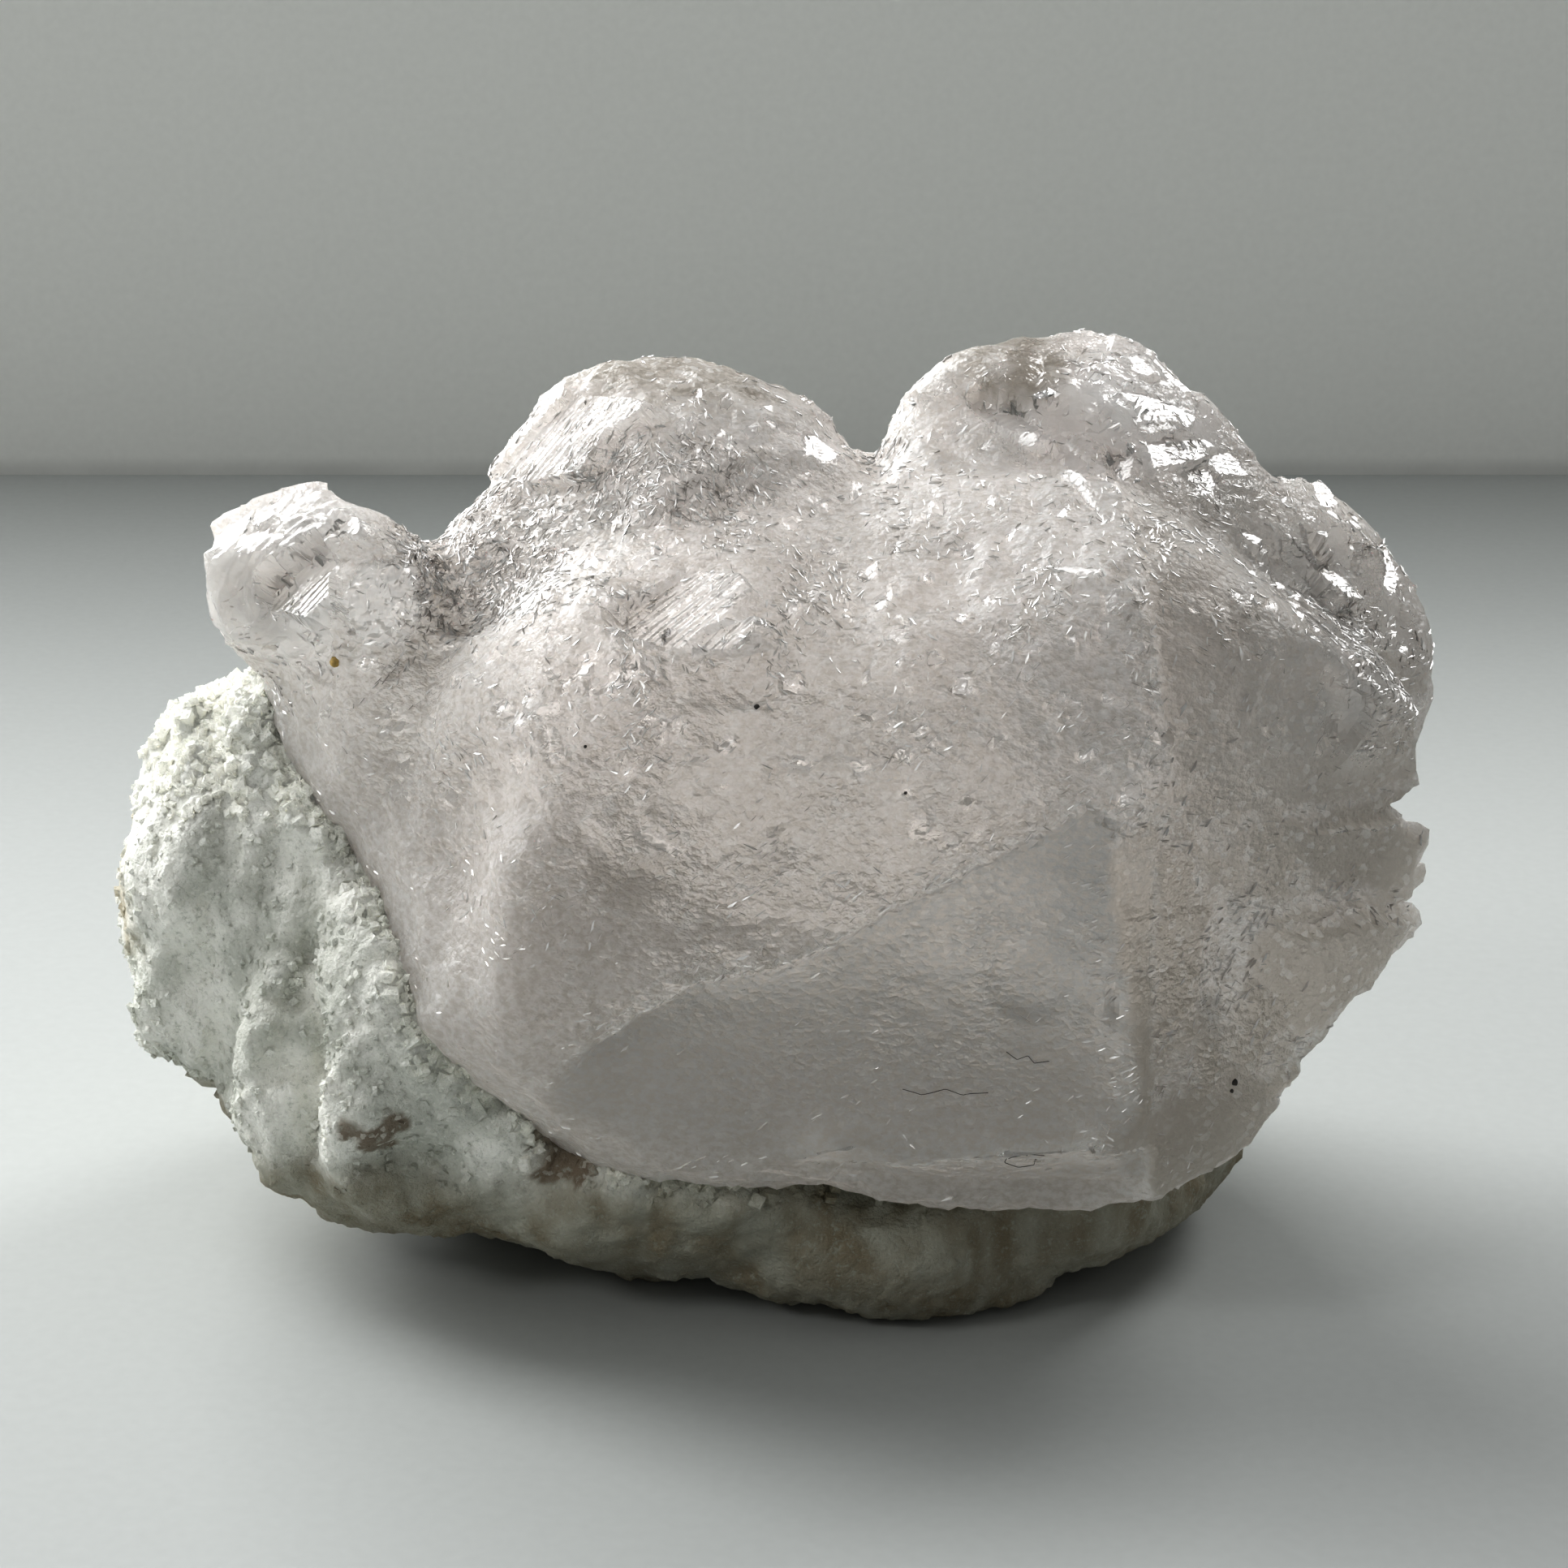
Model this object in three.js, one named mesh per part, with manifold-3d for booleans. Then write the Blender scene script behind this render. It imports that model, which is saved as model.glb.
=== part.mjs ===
// A mass of etched kunzite on a lump of white feldspar matrix. Millimetres, +Z up, +Y away from the front.
//
// Every lump starts as a fine sphere whose points are drawn in along their rays to a field of blended lobes.
// Flat cleavage faces are then cut from it. The crystal is six such lumps grown together, and the matrix is
// one more, hollowed by a slightly larger copy of the crystal so that the crystal sits in its own bed.
import * as THREE from "three";
import { ImprovedNoise } from "three/addons/math/ImprovedNoise.js";
import { mergeVertices } from "three/addons/utils/BufferGeometryUtils.js";
import Module from "manifold-3d";

const wasm = await Module();
wasm.setup();

// Driving dimensions, in millimetres.
const BED_GAP = 0.45; // clearance left between the crystal and its bed
const HOLLOW_ROUND = 1.6; // rounding along the rim of a hollow
const TERRACE_FLOOR = -16.4; // how far forward the terrace's floor lies, halfway up it
const TERRACE_MIDDLE = 20; // the height of that halfway line
const TERRACE_LEAN = 0.09; // how much further forward the floor lies for each millimetre up

// Working limits, in millimetres.
const REACH = 60; // further from any lump's centre than its surface
const TOUCH = 0.02; // a ray this close to the surface has met it
const STRIDE = 0.55; // the share of the distance left that a ray walks in one step
const SAME_POINT = 1e-4; // corners this close together are one
const FLATTEN = 0.06; // how far merging small triangles may move a surface
const BED_FLATTEN = 0.1; // the same for the hidden bed

// Cleavage and fracture faces: the way each one faces, and how far along that way it lies.
const face = (towards, reach) => ({ towards: new THREE.Vector3(...towards).normalize(), reach });
const FRONT = face([-0.06, -1, 0.12], 19);
const FRONT_BEVEL = face([0, -0.845, -0.535], 8.3);
const LEFT_FLANK = face([-0.72, -0.66, 0.2], 24);
const UNDERSIDE = face([-0.079, 0, -0.997], -7.83);
const UNDERSIDE_RIGHT = face([0.24, 0, -0.97], -3.8);
const LOWER_LEFT = face([-0.8, 0, -0.6], 4.2);
const RIGHT_FLANK = face([0.57, -0.82, 0.02], 23);
const RIGHT_BACK = face([0.78, 0.62, 0], 20.7);
const LOWER_RIGHT = face([0.76, 0, -0.65], 10.7);
const RIDGE_TOP = face([0.56, 0.1, 0.83], 42);
const KNOB_FRONT = face([-0.3, -0.8, 0.5], 28.5);
const MIDDLE_DOME_LEFT = face([-0.5, -0.6, 0.62], 31.2);
const MIDDLE_DOME_BACK = face([-0.2, 0.8, 0.55], 31.2);
const RIGHT_DOME_SIDE = face([0.55, -0.45, 0.7], 39.4);
const RIGHT_DOME_FRONT = face([-0.25, -0.75, 0.6], 23.4);
const RIGHT_DOME_BACK = face([0.35, 0.75, 0.56], 36);
const FAR_RIGHT_TOP = face([0.72, -0.25, 0.64], 42.7);
const SEAT = face([0, 0, -1], 0);
const MATRIX_LEFT = face([-0.6, 0, -0.8], 11.3);

// A lobe is an ellipsoid, given by its centre and its half sizes.
const lobe = (at, half) => ({ at: new THREE.Vector3(...at), half: new THREE.Vector3(...half) });

// A lump is a set of lobes seen from one centre. Its `worn` faces carry its relief, and its `faces` cut it flat.
const LUMPS = {
  body: {
    centre: [-4, 0, 24],
    stretch: [1.15, 1, 1],
    detail: 12,
    round: 1.6,
    lobes: [
      lobe([-1, -1, 21.5], [20.4, 19.5, 18]), // the main body
      lobe([-14.4, 1, 35.2], [2.4, 3.4, 3.4]), // the shoulder
    ],
    hollows: [
      lobe([-6.3, -20.6, 26.4], [4, 4.2, 2.8]), // the pit in the front
      lobe([-16, -14.5, 27], [2, 4, 6]), // the valley below the left knobs
    ],
    worn: [FRONT, LEFT_FLANK],
    faces: [FRONT_BEVEL, UNDERSIDE, UNDERSIDE_RIGHT, LOWER_LEFT],
  },
  middleDome: {
    centre: [-5, 3, 34],
    stretch: [1, 1, 1],
    detail: 7,
    round: 1.6,
    lobes: [lobe([-5, 3, 35.6], [9.9, 9, 9.4])],
    hollows: [],
    worn: [],
    faces: [MIDDLE_DOME_LEFT, MIDDLE_DOME_BACK],
  },
  leftKnobs: {
    centre: [-20.5, 0, 30],
    stretch: [1, 1, 1],
    detail: 7,
    round: 1,
    lobes: [
      lobe([-23.7, 0, 34.4], [4.2, 4.6, 4.9]), // the clear knob at the far left
      lobe([-20.4, -2, 33.9], [3.9, 4.6, 4.9]), // its neighbour
      lobe([-18.2, -0.5, 28], [6.8, 8, 7.4]), // the neck under both
    ],
    hollows: [],
    worn: [],
    faces: [LOWER_LEFT, KNOB_FRONT],
  },
  rightSlab: {
    centre: [13, -1, 22],
    stretch: [1, 1, 1],
    detail: 9,
    round: 1.6,
    lobes: [lobe([12, -1, 21], [21, 19.5, 20.5])],
    hollows: [],
    worn: [FRONT],
    faces: [
      FRONT_BEVEL, UNDERSIDE, UNDERSIDE_RIGHT, RIGHT_FLANK, RIGHT_BACK, LOWER_RIGHT, RIDGE_TOP,
    ],
  },
  rightDome: {
    centre: [14, 4, 34],
    stretch: [1.1, 1, 1],
    detail: 8,
    round: 1.2,
    lobes: [
      lobe([12.8, 4.5, 36], [8.4, 8.5, 10.2]), // its high side
      lobe([16.6, 3.5, 36], [7.3, 7.5, 8.6]), // its right side
      lobe([8.2, 3, 40.4], [2.8, 4, 3.3]), // the corner that stands up at its left
    ],
    hollows: [],
    worn: [],
    faces: [RIGHT_DOME_SIDE, RIGHT_DOME_FRONT, RIGHT_DOME_BACK],
  },
  farRight: {
    centre: [23, 3, 30],
    stretch: [1, 1, 1],
    detail: 7,
    round: 1.2,
    lobes: [
      lobe([24, 4, 29.2], [8.7, 7.5, 8]),
      lobe([25.6, 4, 34.8], [3.2, 4, 3.8]), // the point on its top
    ],
    hollows: [],
    worn: [],
    faces: [FAR_RIGHT_TOP],
  },
};

const MATRIX_LUMP = {
  centre: [-7, 3, 9],
  stretch: [1.6, 1, 0.8],
  detail: 13,
  round: 2.5,
  lobes: [
    lobe([-25.2, 4.5, 17], [8.8, 10, 11.3]), // the upright slab at the left
    lobe([-18.5, -3.5, 12], [9, 9, 9.2]), // what fills between it and the crystal
    lobe([-17, -2.5, 8.6], [9.5, 8.5, 6.4]), // the lumps under it
    lobe([-6, -2, 6.2], [12, 10.4, 5.2]), // the layer under the crystal
    lobe([2, 4, 7], [20, 13, 6.8]), // the same layer further back
    lobe([14, -2, 5], [7.5, 9.4, 4.4]), // its right end
    lobe([17, 3, 5], [6, 7, 3.6]), // and the tip beyond that
    lobe([4.8, -2.6, 3], [8.8, 10.6, 4.6]), // the foot
    lobe([-3, 8, 3.6], [13, 9, 5]), // the back foot
    lobe([-14, 11, 13], [14, 9, 12]), // the wall behind the crystal
    lobe([5, 11, 8], [13, 9, 8]), // the low wall at the back right
  ],
  hollows: [
    lobe([-28.3, -6.5, 19], [1, 3.6, 9]), // between the ribs of the slab
    lobe([-23, -10, 14], [1.2, 4.4, 7]), // the same, nearer the crystal
    lobe([-17.4, -12.6, 8.6], [2.2, 2.6, 2.2]), // the brown pit
    lobe([-12, 22, 14], [2, 4, 9]), // a cleft down the back
  ],
  worn: [],
  faces: [SEAT, MATRIX_LEFT],
};

// Notches cut sharply into the crystal's edges.
const NOTCHES = [
  lobe([4.4, 1, 43], [1.6, 6, 3.4]), // between the two domes
  lobe([32, -3, 24.6], [3.6, 7, 1.2]), // in the right edge
  lobe([32.4, -5, 20.2], [1.9, 5, 0.5]), // the small one under it
];

// Distance to an ellipsoid, near enough for a march and a blend.
function ellipsoidDistance(point, { at, half }) {
  const local = point.clone().sub(at).divide(half);
  const stretch = local.length();
  const slope = local.divide(half).length();
  return stretch === 0 ? -half.x : (stretch * (stretch - 1)) / slope;
}

// The smaller of two distances, rounded off over `width`.
function blend(a, b, width) {
  const share = Math.max(width - Math.abs(a - b), 0) / width;
  return Math.min(a, b) - (share * share * width) / 4;
}

const perlin = new ImprovedNoise();
const noise = (p, wave, seed) => perlin.noise(p.x / wave + seed, p.y / wave + seed, p.z / wave + seed);

const etching = (p) => 1.1 * noise(p, 9, 3.3) + 0.7 * noise(p, 5, 7.7);
const sugar = (p) => 1.2 * noise(p, 8, 5.1) + 0.8 * noise(p, 5, 9.4);

// How far a point lies outside a lump: outside every lobe, beyond a worn face, or inside a hollow.
function fieldOf({ lobes, hollows, worn, round }, relief) {
  return (point) => {
    const outside = lobes.reduce((d, l) => blend(d, ellipsoidDistance(point, l), round), REACH);
    const beyond = worn.map(({ towards, reach }) => point.dot(towards) - reach);
    const solid = Math.max(outside, ...beyond) + relief(point);
    return hollows.reduce((d, l) => -blend(-d, ellipsoidDistance(point, l), HOLLOW_ROUND), solid);
  };
}

// Walks in along a ray from outside until the field says that it has met the surface.
function surfaceDistance(field, centre, direction) {
  const point = new THREE.Vector3();
  const fieldAt = (along) => field(point.copy(direction).multiplyScalar(along).add(centre));
  let along = REACH;
  let left = fieldAt(along);
  while (left > TOUCH) {
    along -= Math.max(STRIDE * left, TOUCH);
    left = fieldAt(along);
  }
  return along;
}

// A geometry with nothing but its corners, each of them shared by the faces that meet there.
function cornersOf(geometry) {
  geometry.deleteAttribute("normal");
  geometry.deleteAttribute("uv");
  return mergeVertices(geometry, SAME_POINT);
}

// A sphere whose points are drawn in to the field.
function drawnIn(field, { centre, stretch, detail }) {
  const skin = cornersOf(new THREE.IcosahedronGeometry(1, detail));
  const position = skin.getAttribute("position");
  const middle = new THREE.Vector3(...centre);
  const wide = new THREE.Vector3(...stretch);
  const direction = new THREE.Vector3();
  for (let i = 0; i < position.count; i++) {
    direction.fromBufferAttribute(position, i).multiply(wide).normalize();
    direction.multiplyScalar(surfaceDistance(field, middle, direction)).add(middle);
    position.setXYZ(i, direction.x, direction.y, direction.z);
  }
  return skin;
}

const solidOf = (geometry) =>
  new wasm.Manifold(
    new wasm.Mesh({
      numProp: 3,
      vertProperties: geometry.getAttribute("position").array,
      triVerts: new Uint32Array(geometry.index.array),
    }),
  );

function geometryOf(solid) {
  const mesh = solid.getMesh();
  const geometry = new THREE.BufferGeometry();
  geometry.setAttribute("position", new THREE.BufferAttribute(mesh.vertProperties, 3));
  geometry.setIndex(new THREE.BufferAttribute(mesh.triVerts, 1));
  geometry.computeVertexNormals();
  return geometry;
}

// One lump as a solid, swollen by `grow` on every side.
function lumpSolid(lump, relief, grow = 0) {
  const field = fieldOf(lump, relief);
  const skin = drawnIn((p) => field(p) - grow, lump);
  return lump.faces.reduce(
    (solid, { towards, reach }) => solid.trimByPlane(towards.clone().negate().toArray(), -(reach + grow)),
    solidOf(skin),
  );
}

const crystalSolid = (grow) =>
  Object.values(LUMPS)
    .map((lump) => lumpSolid(lump, etching, grow))
    .reduce((whole, lump) => whole.add(lump));

// An ellipsoid as a solid, for cutting a notch.
function ballSolid({ at, half }) {
  const ball = new THREE.IcosahedronGeometry(1, 3);
  ball.scale(half.x, half.y, half.z);
  ball.translate(at.x, at.y, at.z);
  return solidOf(cornersOf(ball));
}

// The lower terrace: a plate has broken off the front below a wavy edge, down to the lip along the bottom.
function terraceSolid() {
  const corners = (list) => list.map(([x, z]) => new THREE.Vector2(x, z));
  const edge = new THREE.SplineCurve(
    corners([[-9, 17], [-4, 20.2], [0.5, 21], [5, 23.9], [10, 26.7], [13.7, 28.7], [16.5, 27.4], [19, 21]]),
  );
  const lip = corners([[19, 12.8], [16, 12.7], [8, 11.8], [1.6, 12.2], [-1, 9], [-9, 7]]);
  const outline = new THREE.Shape([...edge.getPoints(21), ...lip]);
  const plate = new THREE.ExtrudeGeometry(outline, { depth: 20, bevelEnabled: false });
  plate.rotateX(Math.PI / 2); // the outline stands up, and the plate runs towards the front
  const forward = TERRACE_FLOOR + TERRACE_LEAN * TERRACE_MIDDLE;
  const lean = new THREE.Matrix4().set(1, 0, 0, 0, 0, 1, -TERRACE_LEAN, forward, 0, 0, 1, 0, 0, 0, 0, 1);
  plate.applyMatrix4(lean);
  return solidOf(cornersOf(plate));
}

const largest = (solid) => solid.decompose().sort((a, b) => b.volume() - a.volume())[0];

const notched = NOTCHES.reduce((left, notch) => left.subtract(ballSolid(notch)), crystalSolid(0));
const crystal = notched.subtract(terraceSolid()).simplify(FLATTEN);
const bed = crystalSolid(BED_GAP).simplify(BED_FLATTEN);
const matrix = lumpSolid(MATRIX_LUMP, sugar).subtract(bed).simplify(FLATTEN);

const specimen = new THREE.Group();
const addPiece = (name, solid, finish) => {
  const mesh = new THREE.Mesh(geometryOf(solid), new THREE.MeshStandardMaterial(finish));
  mesh.name = name;
  specimen.add(mesh);
};
addPiece("kunzite", largest(crystal), { color: 0xd9cbc9, roughness: 0.25, metalness: 0 });
addPiece("matrix", largest(matrix), { color: 0xd0d0c4, roughness: 0.85, metalness: 0 });

// The origin is the middle of the specimen's footprint, at the level it rests on.
const box = new THREE.Box3().setFromObject(specimen);
const middle = box.getCenter(new THREE.Vector3());
specimen.children.forEach((mesh) => mesh.geometry.translate(-middle.x, -middle.y, -box.min.z));

export default specimen;
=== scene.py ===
"""An etched pink kunzite on its feldspar matrix, standing on a plain pale surface.

Lengths are millimetres everywhere except at the edge of Blender, which wants metres.
"""

from __future__ import annotations

import logging
import math
from collections.abc import Callable
from dataclasses import dataclass, field
from enum import Enum

import bmesh
import bpy
import numpy as np
from bpy.types import Material, Node, NodeSocket, NodeTree, Object
from mathutils import Vector
from mathutils.kdtree import KDTree
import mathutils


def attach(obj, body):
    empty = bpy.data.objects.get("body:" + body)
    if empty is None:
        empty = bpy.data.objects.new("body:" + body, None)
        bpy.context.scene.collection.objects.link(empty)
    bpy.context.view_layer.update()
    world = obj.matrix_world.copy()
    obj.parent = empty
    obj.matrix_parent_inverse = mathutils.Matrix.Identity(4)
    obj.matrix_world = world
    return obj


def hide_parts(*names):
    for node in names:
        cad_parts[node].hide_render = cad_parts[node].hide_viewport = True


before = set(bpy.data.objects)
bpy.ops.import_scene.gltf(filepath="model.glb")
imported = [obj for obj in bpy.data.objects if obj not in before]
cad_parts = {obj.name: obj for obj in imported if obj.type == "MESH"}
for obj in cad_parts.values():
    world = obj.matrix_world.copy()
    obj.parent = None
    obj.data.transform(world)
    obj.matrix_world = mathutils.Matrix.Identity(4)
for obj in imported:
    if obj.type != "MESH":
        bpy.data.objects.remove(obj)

Vec = tuple[float, float, float]
Shape = tuple[np.ndarray, list[list[int]]]

SLOPE = np.array([(0.30, 0, 0.67), (0, 1, 0), (-0.27, 0, 0.74)])
CLEAVAGE = np.array([(-0.60, -0.40, 0.70), (-0.40, -0.76, 0.51), (0.42, -0.34, 0.84)])
UP_FRONT = np.array((0.0, -0.6, 0.8))
LOG = logging.getLogger("kunzite")
MM = 0.001
TINY = 1e-9


# ---------------------------------------------------------------- numbers on a lattice


class Draw(Enum):
    """Seeds, one for each thing that is drawn at random."""

    LUMPS = 11
    LEDGES = 23
    ETCH = 29
    CLEAVE_BROAD = 31
    CLEAVE_MIDDLE = 37
    CLEAVE_FINE = 41
    CHIPS = 43
    STRIAE = 53
    FLAKES = 59
    CRUMBS = 61
    RIBS = 67
    GRAINS = 71
    BURR = 83
    SUGAR = 89


def lattice_random(cell: np.ndarray, seed: int) -> np.ndarray:
    """Three random numbers for each lattice cell, the same ones every time.

    Args:
        cell: whole-number cell coordinates, shape (n, 3).
        seed: which set of numbers to draw.

    Returns:
        Numbers from 0 to 1, shape (n, 3).
    """
    whole = cell.astype(np.int64)
    mixed = whole @ np.array([0x1F1F1F1F, 0x2E8BA2E9, 0x3C6EF372], dtype=np.int64) + seed * 0x27D4EB2F
    mixed &= 0xFFFFFFFF
    drawn = []
    for _ in range(3):
        mixed = ((mixed ^ (mixed >> 15)) * 0x2C1B3C6D) & 0xFFFFFFFF
        mixed = ((mixed ^ (mixed >> 12)) * 0x297A2D39) & 0xFFFFFFFF
        mixed ^= mixed >> 15
        drawn.append(mixed / 0xFFFFFFFF)
    return np.stack(drawn, axis=1)


def random_rows(count: int, draw: Draw) -> np.ndarray:
    """Three random numbers from 0 to 1 for each of some things."""
    return lattice_random(np.stack([np.arange(count)] * 3, axis=1), draw.value)


def dot(a: np.ndarray, b: np.ndarray) -> np.ndarray:
    """The scalar product, row by row."""
    return np.einsum("ij,ij->i", a, b)


def unit(vectors: np.ndarray) -> np.ndarray:
    """The same directions at length 1."""
    return vectors / np.maximum(np.linalg.norm(vectors, axis=-1, keepdims=True), 1e-12)


def smoothstep(low: float, high: float, value: np.ndarray) -> np.ndarray:
    """Eases from 0 at `low` to 1 at `high`."""
    share = np.clip((value - low) / (high - low), 0, 1)
    return share * share * (3 - 2 * share)


def smooth_noise(points: np.ndarray, wave: float, draw: Draw) -> np.ndarray:
    """Gradient noise, from about -1 to 1.

    Args:
        points: places in millimetres, shape (n, 3).
        wave: the size of one bump, in millimetres.
        draw: the seed.

    Returns:
        One number for each point.
    """
    place = points / wave
    corner = np.floor(place).astype(np.int64)
    within = place - corner
    ease = within**3 * (within * (within * 6 - 15) + 10)
    total = np.zeros(len(points))
    for step in np.ndindex(2, 2, 2):
        offset = np.array(step)
        slope = lattice_random(corner + offset, draw.value) * 2 - 1
        share = np.prod(np.where(offset == 1, ease, 1 - ease), axis=1)
        total += share * dot(slope, within - offset)
    return total * 1.6


def nearest_seeds(points: np.ndarray, spacing: np.ndarray, draw: Draw, lean: float = 0.0) -> np.ndarray:
    """Which scattered seed lies nearest to each point.

    Args:
        points: places in millimetres, shape (n, 3).
        spacing: the mean distance between seeds along x, y and z.
        draw: the seed of the scatter.
        lean: how far the x axis of the scatter dips, in degrees.

    Returns:
        A number that names the nearest seed, for each point.
    """
    dip = math.radians(lean)
    turn = np.array([(math.cos(dip), 0, math.sin(dip)), (0, 1, 0), (-math.sin(dip), 0, math.cos(dip))])
    place = points @ turn / spacing
    home = np.floor(place).astype(np.int64)
    best = np.full(len(points), np.inf)
    owner = np.zeros((len(points), 3), dtype=np.int64)
    for step in np.ndindex(3, 3, 3):
        cell = home + np.array(step) - 1
        gap = ((cell + lattice_random(cell, draw.value) - place) ** 2).sum(axis=1)
        closer = gap < best
        best[closer] = gap[closer]
        owner[closer] = cell[closer]
    return np.unique(owner, axis=0, return_inverse=True)[1].ravel()


@dataclass(frozen=True)
class Bumps:
    """Random bumps of one size.

    Attributes:
        height: how far they rise, in millimetres or as a share of a mask.
        wave: the size of one bump, in millimetres.
        draw: the seed.
    """

    height: float
    wave: float
    draw: Draw

    def rise(self, points: np.ndarray) -> np.ndarray:
        """How far the bumps lift each point."""
        return self.height * smooth_noise(points, self.wave, self.draw)


@dataclass(frozen=True)
class Ease:
    """A soft step from 0 at `start` to 1 at `end`."""

    start: float
    end: float

    def __call__(self, value: np.ndarray) -> np.ndarray:
        """How far each value has passed the step."""
        return smoothstep(self.start, self.end, value)


@dataclass(frozen=True)
class Patch:
    """A soft-edged place on a surface.

    Attributes:
        at: its middle, in millimetres.
        half: its half sizes along x, y and z.
        edge: the share of the way out at which it starts to fade.
    """

    at: Vec
    half: Vec
    edge: float = 0.55

    def weight(self, points: np.ndarray) -> np.ndarray:
        """How far each point belongs to the patch, from 0 to 1."""
        out = np.linalg.norm((points - np.array(self.at)) / np.array(self.half), axis=1)
        return 1 - smoothstep(self.edge, 1.0, out)


def cover(patches: tuple[Patch, ...], points: np.ndarray) -> np.ndarray:
    """How far each point belongs to any of the patches."""
    return np.max([patch.weight(points) for patch in patches], axis=0)


def add_object(
    name: str,
    points: np.ndarray,
    faces: list[list[int]],
    material: Material | None = None,
    masks: dict[str, np.ndarray] | None = None,
) -> Object:
    """Puts a mesh into the scene.

    Args:
        name: the object's name.
        points: its points, in millimetres.
        faces: the numbers of the points round each face.
        material: what it is made of.
        masks: shares from 0 to 1 for each point, by name, that the material reads.

    Returns:
        The new object.
    """
    mesh = bpy.data.meshes.new(name)
    mesh.from_pydata((points * MM).tolist(), [], faces)
    for label, values in (masks or {}).items():
        mesh.attributes.new(label, "FLOAT", "POINT").data.foreach_set("value", np.clip(values, 0, 1))
    if material:
        mesh.materials.append(material)
    made = bpy.data.objects.new(name, mesh)
    bpy.context.scene.collection.objects.link(made)
    return made


# ---------------------------------------------------------------- breaking a surface


class Face(Enum):
    """What a flat face looks like: its gloss, its striae and its wrinkles; the foil's wrinkles are also
    painted milky white, a painted reflection.
    """

    PLAIN = (0.95, 0.2, 0.0)
    DULL = (0.5, 0.2, 0.0)
    STRIATED = (0.42, 1.0, 0.0)
    FOIL = (1.0, 0.0, 1.0)


@dataclass(frozen=True)
class Facet:
    """A flat face broken on the crystal.

    Attributes:
        face: what it looks like.
        corners: its corners, in millimetres.
        swell: how much larger the face is than its corners say.
        fade: how far past its outline the face still pulls at the skin.
        reach: how far off the skin may lie and still be drawn to the face.
        turned: how squarely the skin must face the way that the face does.
    """

    face: Face
    corners: tuple[Vec, ...]
    swell: float = 1.28
    fade: float = 0.14
    reach: float = 1.5
    turned: Ease = Ease(0.15, 0.45)

    def press(self, points: np.ndarray, normals: np.ndarray) -> tuple[np.ndarray, np.ndarray]:
        """Draws the skin to the face.

        Args:
            points: places in millimetres, shape (n, 3).
            normals: the way that the skin faces there.

        Returns:
            The moved points, and how far each one belongs to the face.
        """
        corners = np.array(self.corners)
        middle = corners.mean(axis=0)
        rim = self.swell * (corners - middle)
        facing = unit(np.cross(rim, np.roll(rim, -1, axis=0)).sum(axis=0))
        facing = facing if facing @ UP_FRONT > 0 else -facing
        across = unit(rim[0] - (rim[0] @ facing) * facing)
        axes = np.stack([across, np.cross(facing, across)], axis=1)
        flat = rim @ axes
        flat = flat[np.argsort(np.arctan2(flat[:, 1], flat[:, 0]))]
        side = np.roll(flat, -1, axis=0) - flat
        outward = unit(np.stack([side[:, 1], -side[:, 0]], axis=1))
        place = (points - middle) @ axes
        out = np.max([(place - start) @ way for start, way in zip(flat, outward)], axis=0)
        height = (points - middle) @ facing
        near = (1 - smoothstep(0.7 * self.reach, self.reach, np.abs(height))) * self.turned(normals @ facing)
        share = (1 - smoothstep(0.0, self.fade, out)) * near
        inside = (out < 0) & (near > 0.5)
        if inside.any():
            height = height - np.median(height[inside])
        return points - (height * share)[:, None] * facing, share

    def near(self, points: np.ndarray, margin: float) -> np.ndarray:
        """Whether each point lies within `margin` of the face's own span.

        Args:
            points: places in millimetres.
            margin: how far off a point may lie, in millimetres.

        Returns:
            True for the points that do.
        """
        corners = np.array(self.corners)
        low, high = corners.min(axis=0) - margin, corners.max(axis=0) + margin
        return np.all((points > low) & (points < high), axis=1)


@dataclass(frozen=True)
class Ripple:
    """Curved ridges that a blow has left round a point, as on broken glass.

    Attributes:
        at: the middle of the rings, in millimetres.
        inner: where the rings start.
        outer: where they end.
        period: the distance from ridge to ridge.
        height: how far the ridges rise.
        towards: the side of the middle that the rings lie on.
        waver: how the rings wander.
    """

    at: Vec
    inner: float
    outer: float
    period: float
    height: float
    towards: Vec
    waver: Bumps = Bumps(0.25, 1.4, Draw.STRIAE)

    def share(self, points: np.ndarray) -> np.ndarray:
        """How far each point belongs to the rings.

        Args:
            points: places in millimetres.

        Returns:
            A share from 0 to 1 for each point.
        """
        away = points - np.array(self.at)
        out = np.linalg.norm(away, axis=1)
        ring = smoothstep(self.inner - 0.3, self.inner, out)
        ring *= 1 - smoothstep(self.outer - 0.4, self.outer, out)
        return ring * smoothstep(0.1, 0.5, unit(away) @ unit(np.array(self.towards)))

    def rise(self, points: np.ndarray) -> np.ndarray:
        """How far the ridges lift each point."""
        out = np.linalg.norm(points - np.array(self.at), axis=1) + self.waver.rise(points)
        return self.height * self.share(points) * np.sin(out * 2 * math.pi / self.period)


@dataclass(frozen=True)
class Splinters:
    """Flat facets that a skin is broken into.

    Attributes:
        spacing: the mean size of a facet along x, y and z.
        tilt: how far a facet may turn from the skin, in degrees.
        draw: the seed.
        lean: how far the long side of the facets dips to the right, in degrees.
    """

    spacing: Vec
    tilt: float
    draw: Draw
    lean: float = 0.0


@dataclass(frozen=True)
class Chips:
    """Small steps that are broken out of a skin.

    Attributes:
        width: the mean width of a step, in millimetres.
        stretch: how much longer a step is along x, y and z.
        depth: how far a point may move, in millimetres.
        steepest: how squarely a step must face the way that the skin does.
    """

    width: float
    stretch: Vec
    depth: float
    steepest: float = 0.4


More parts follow.
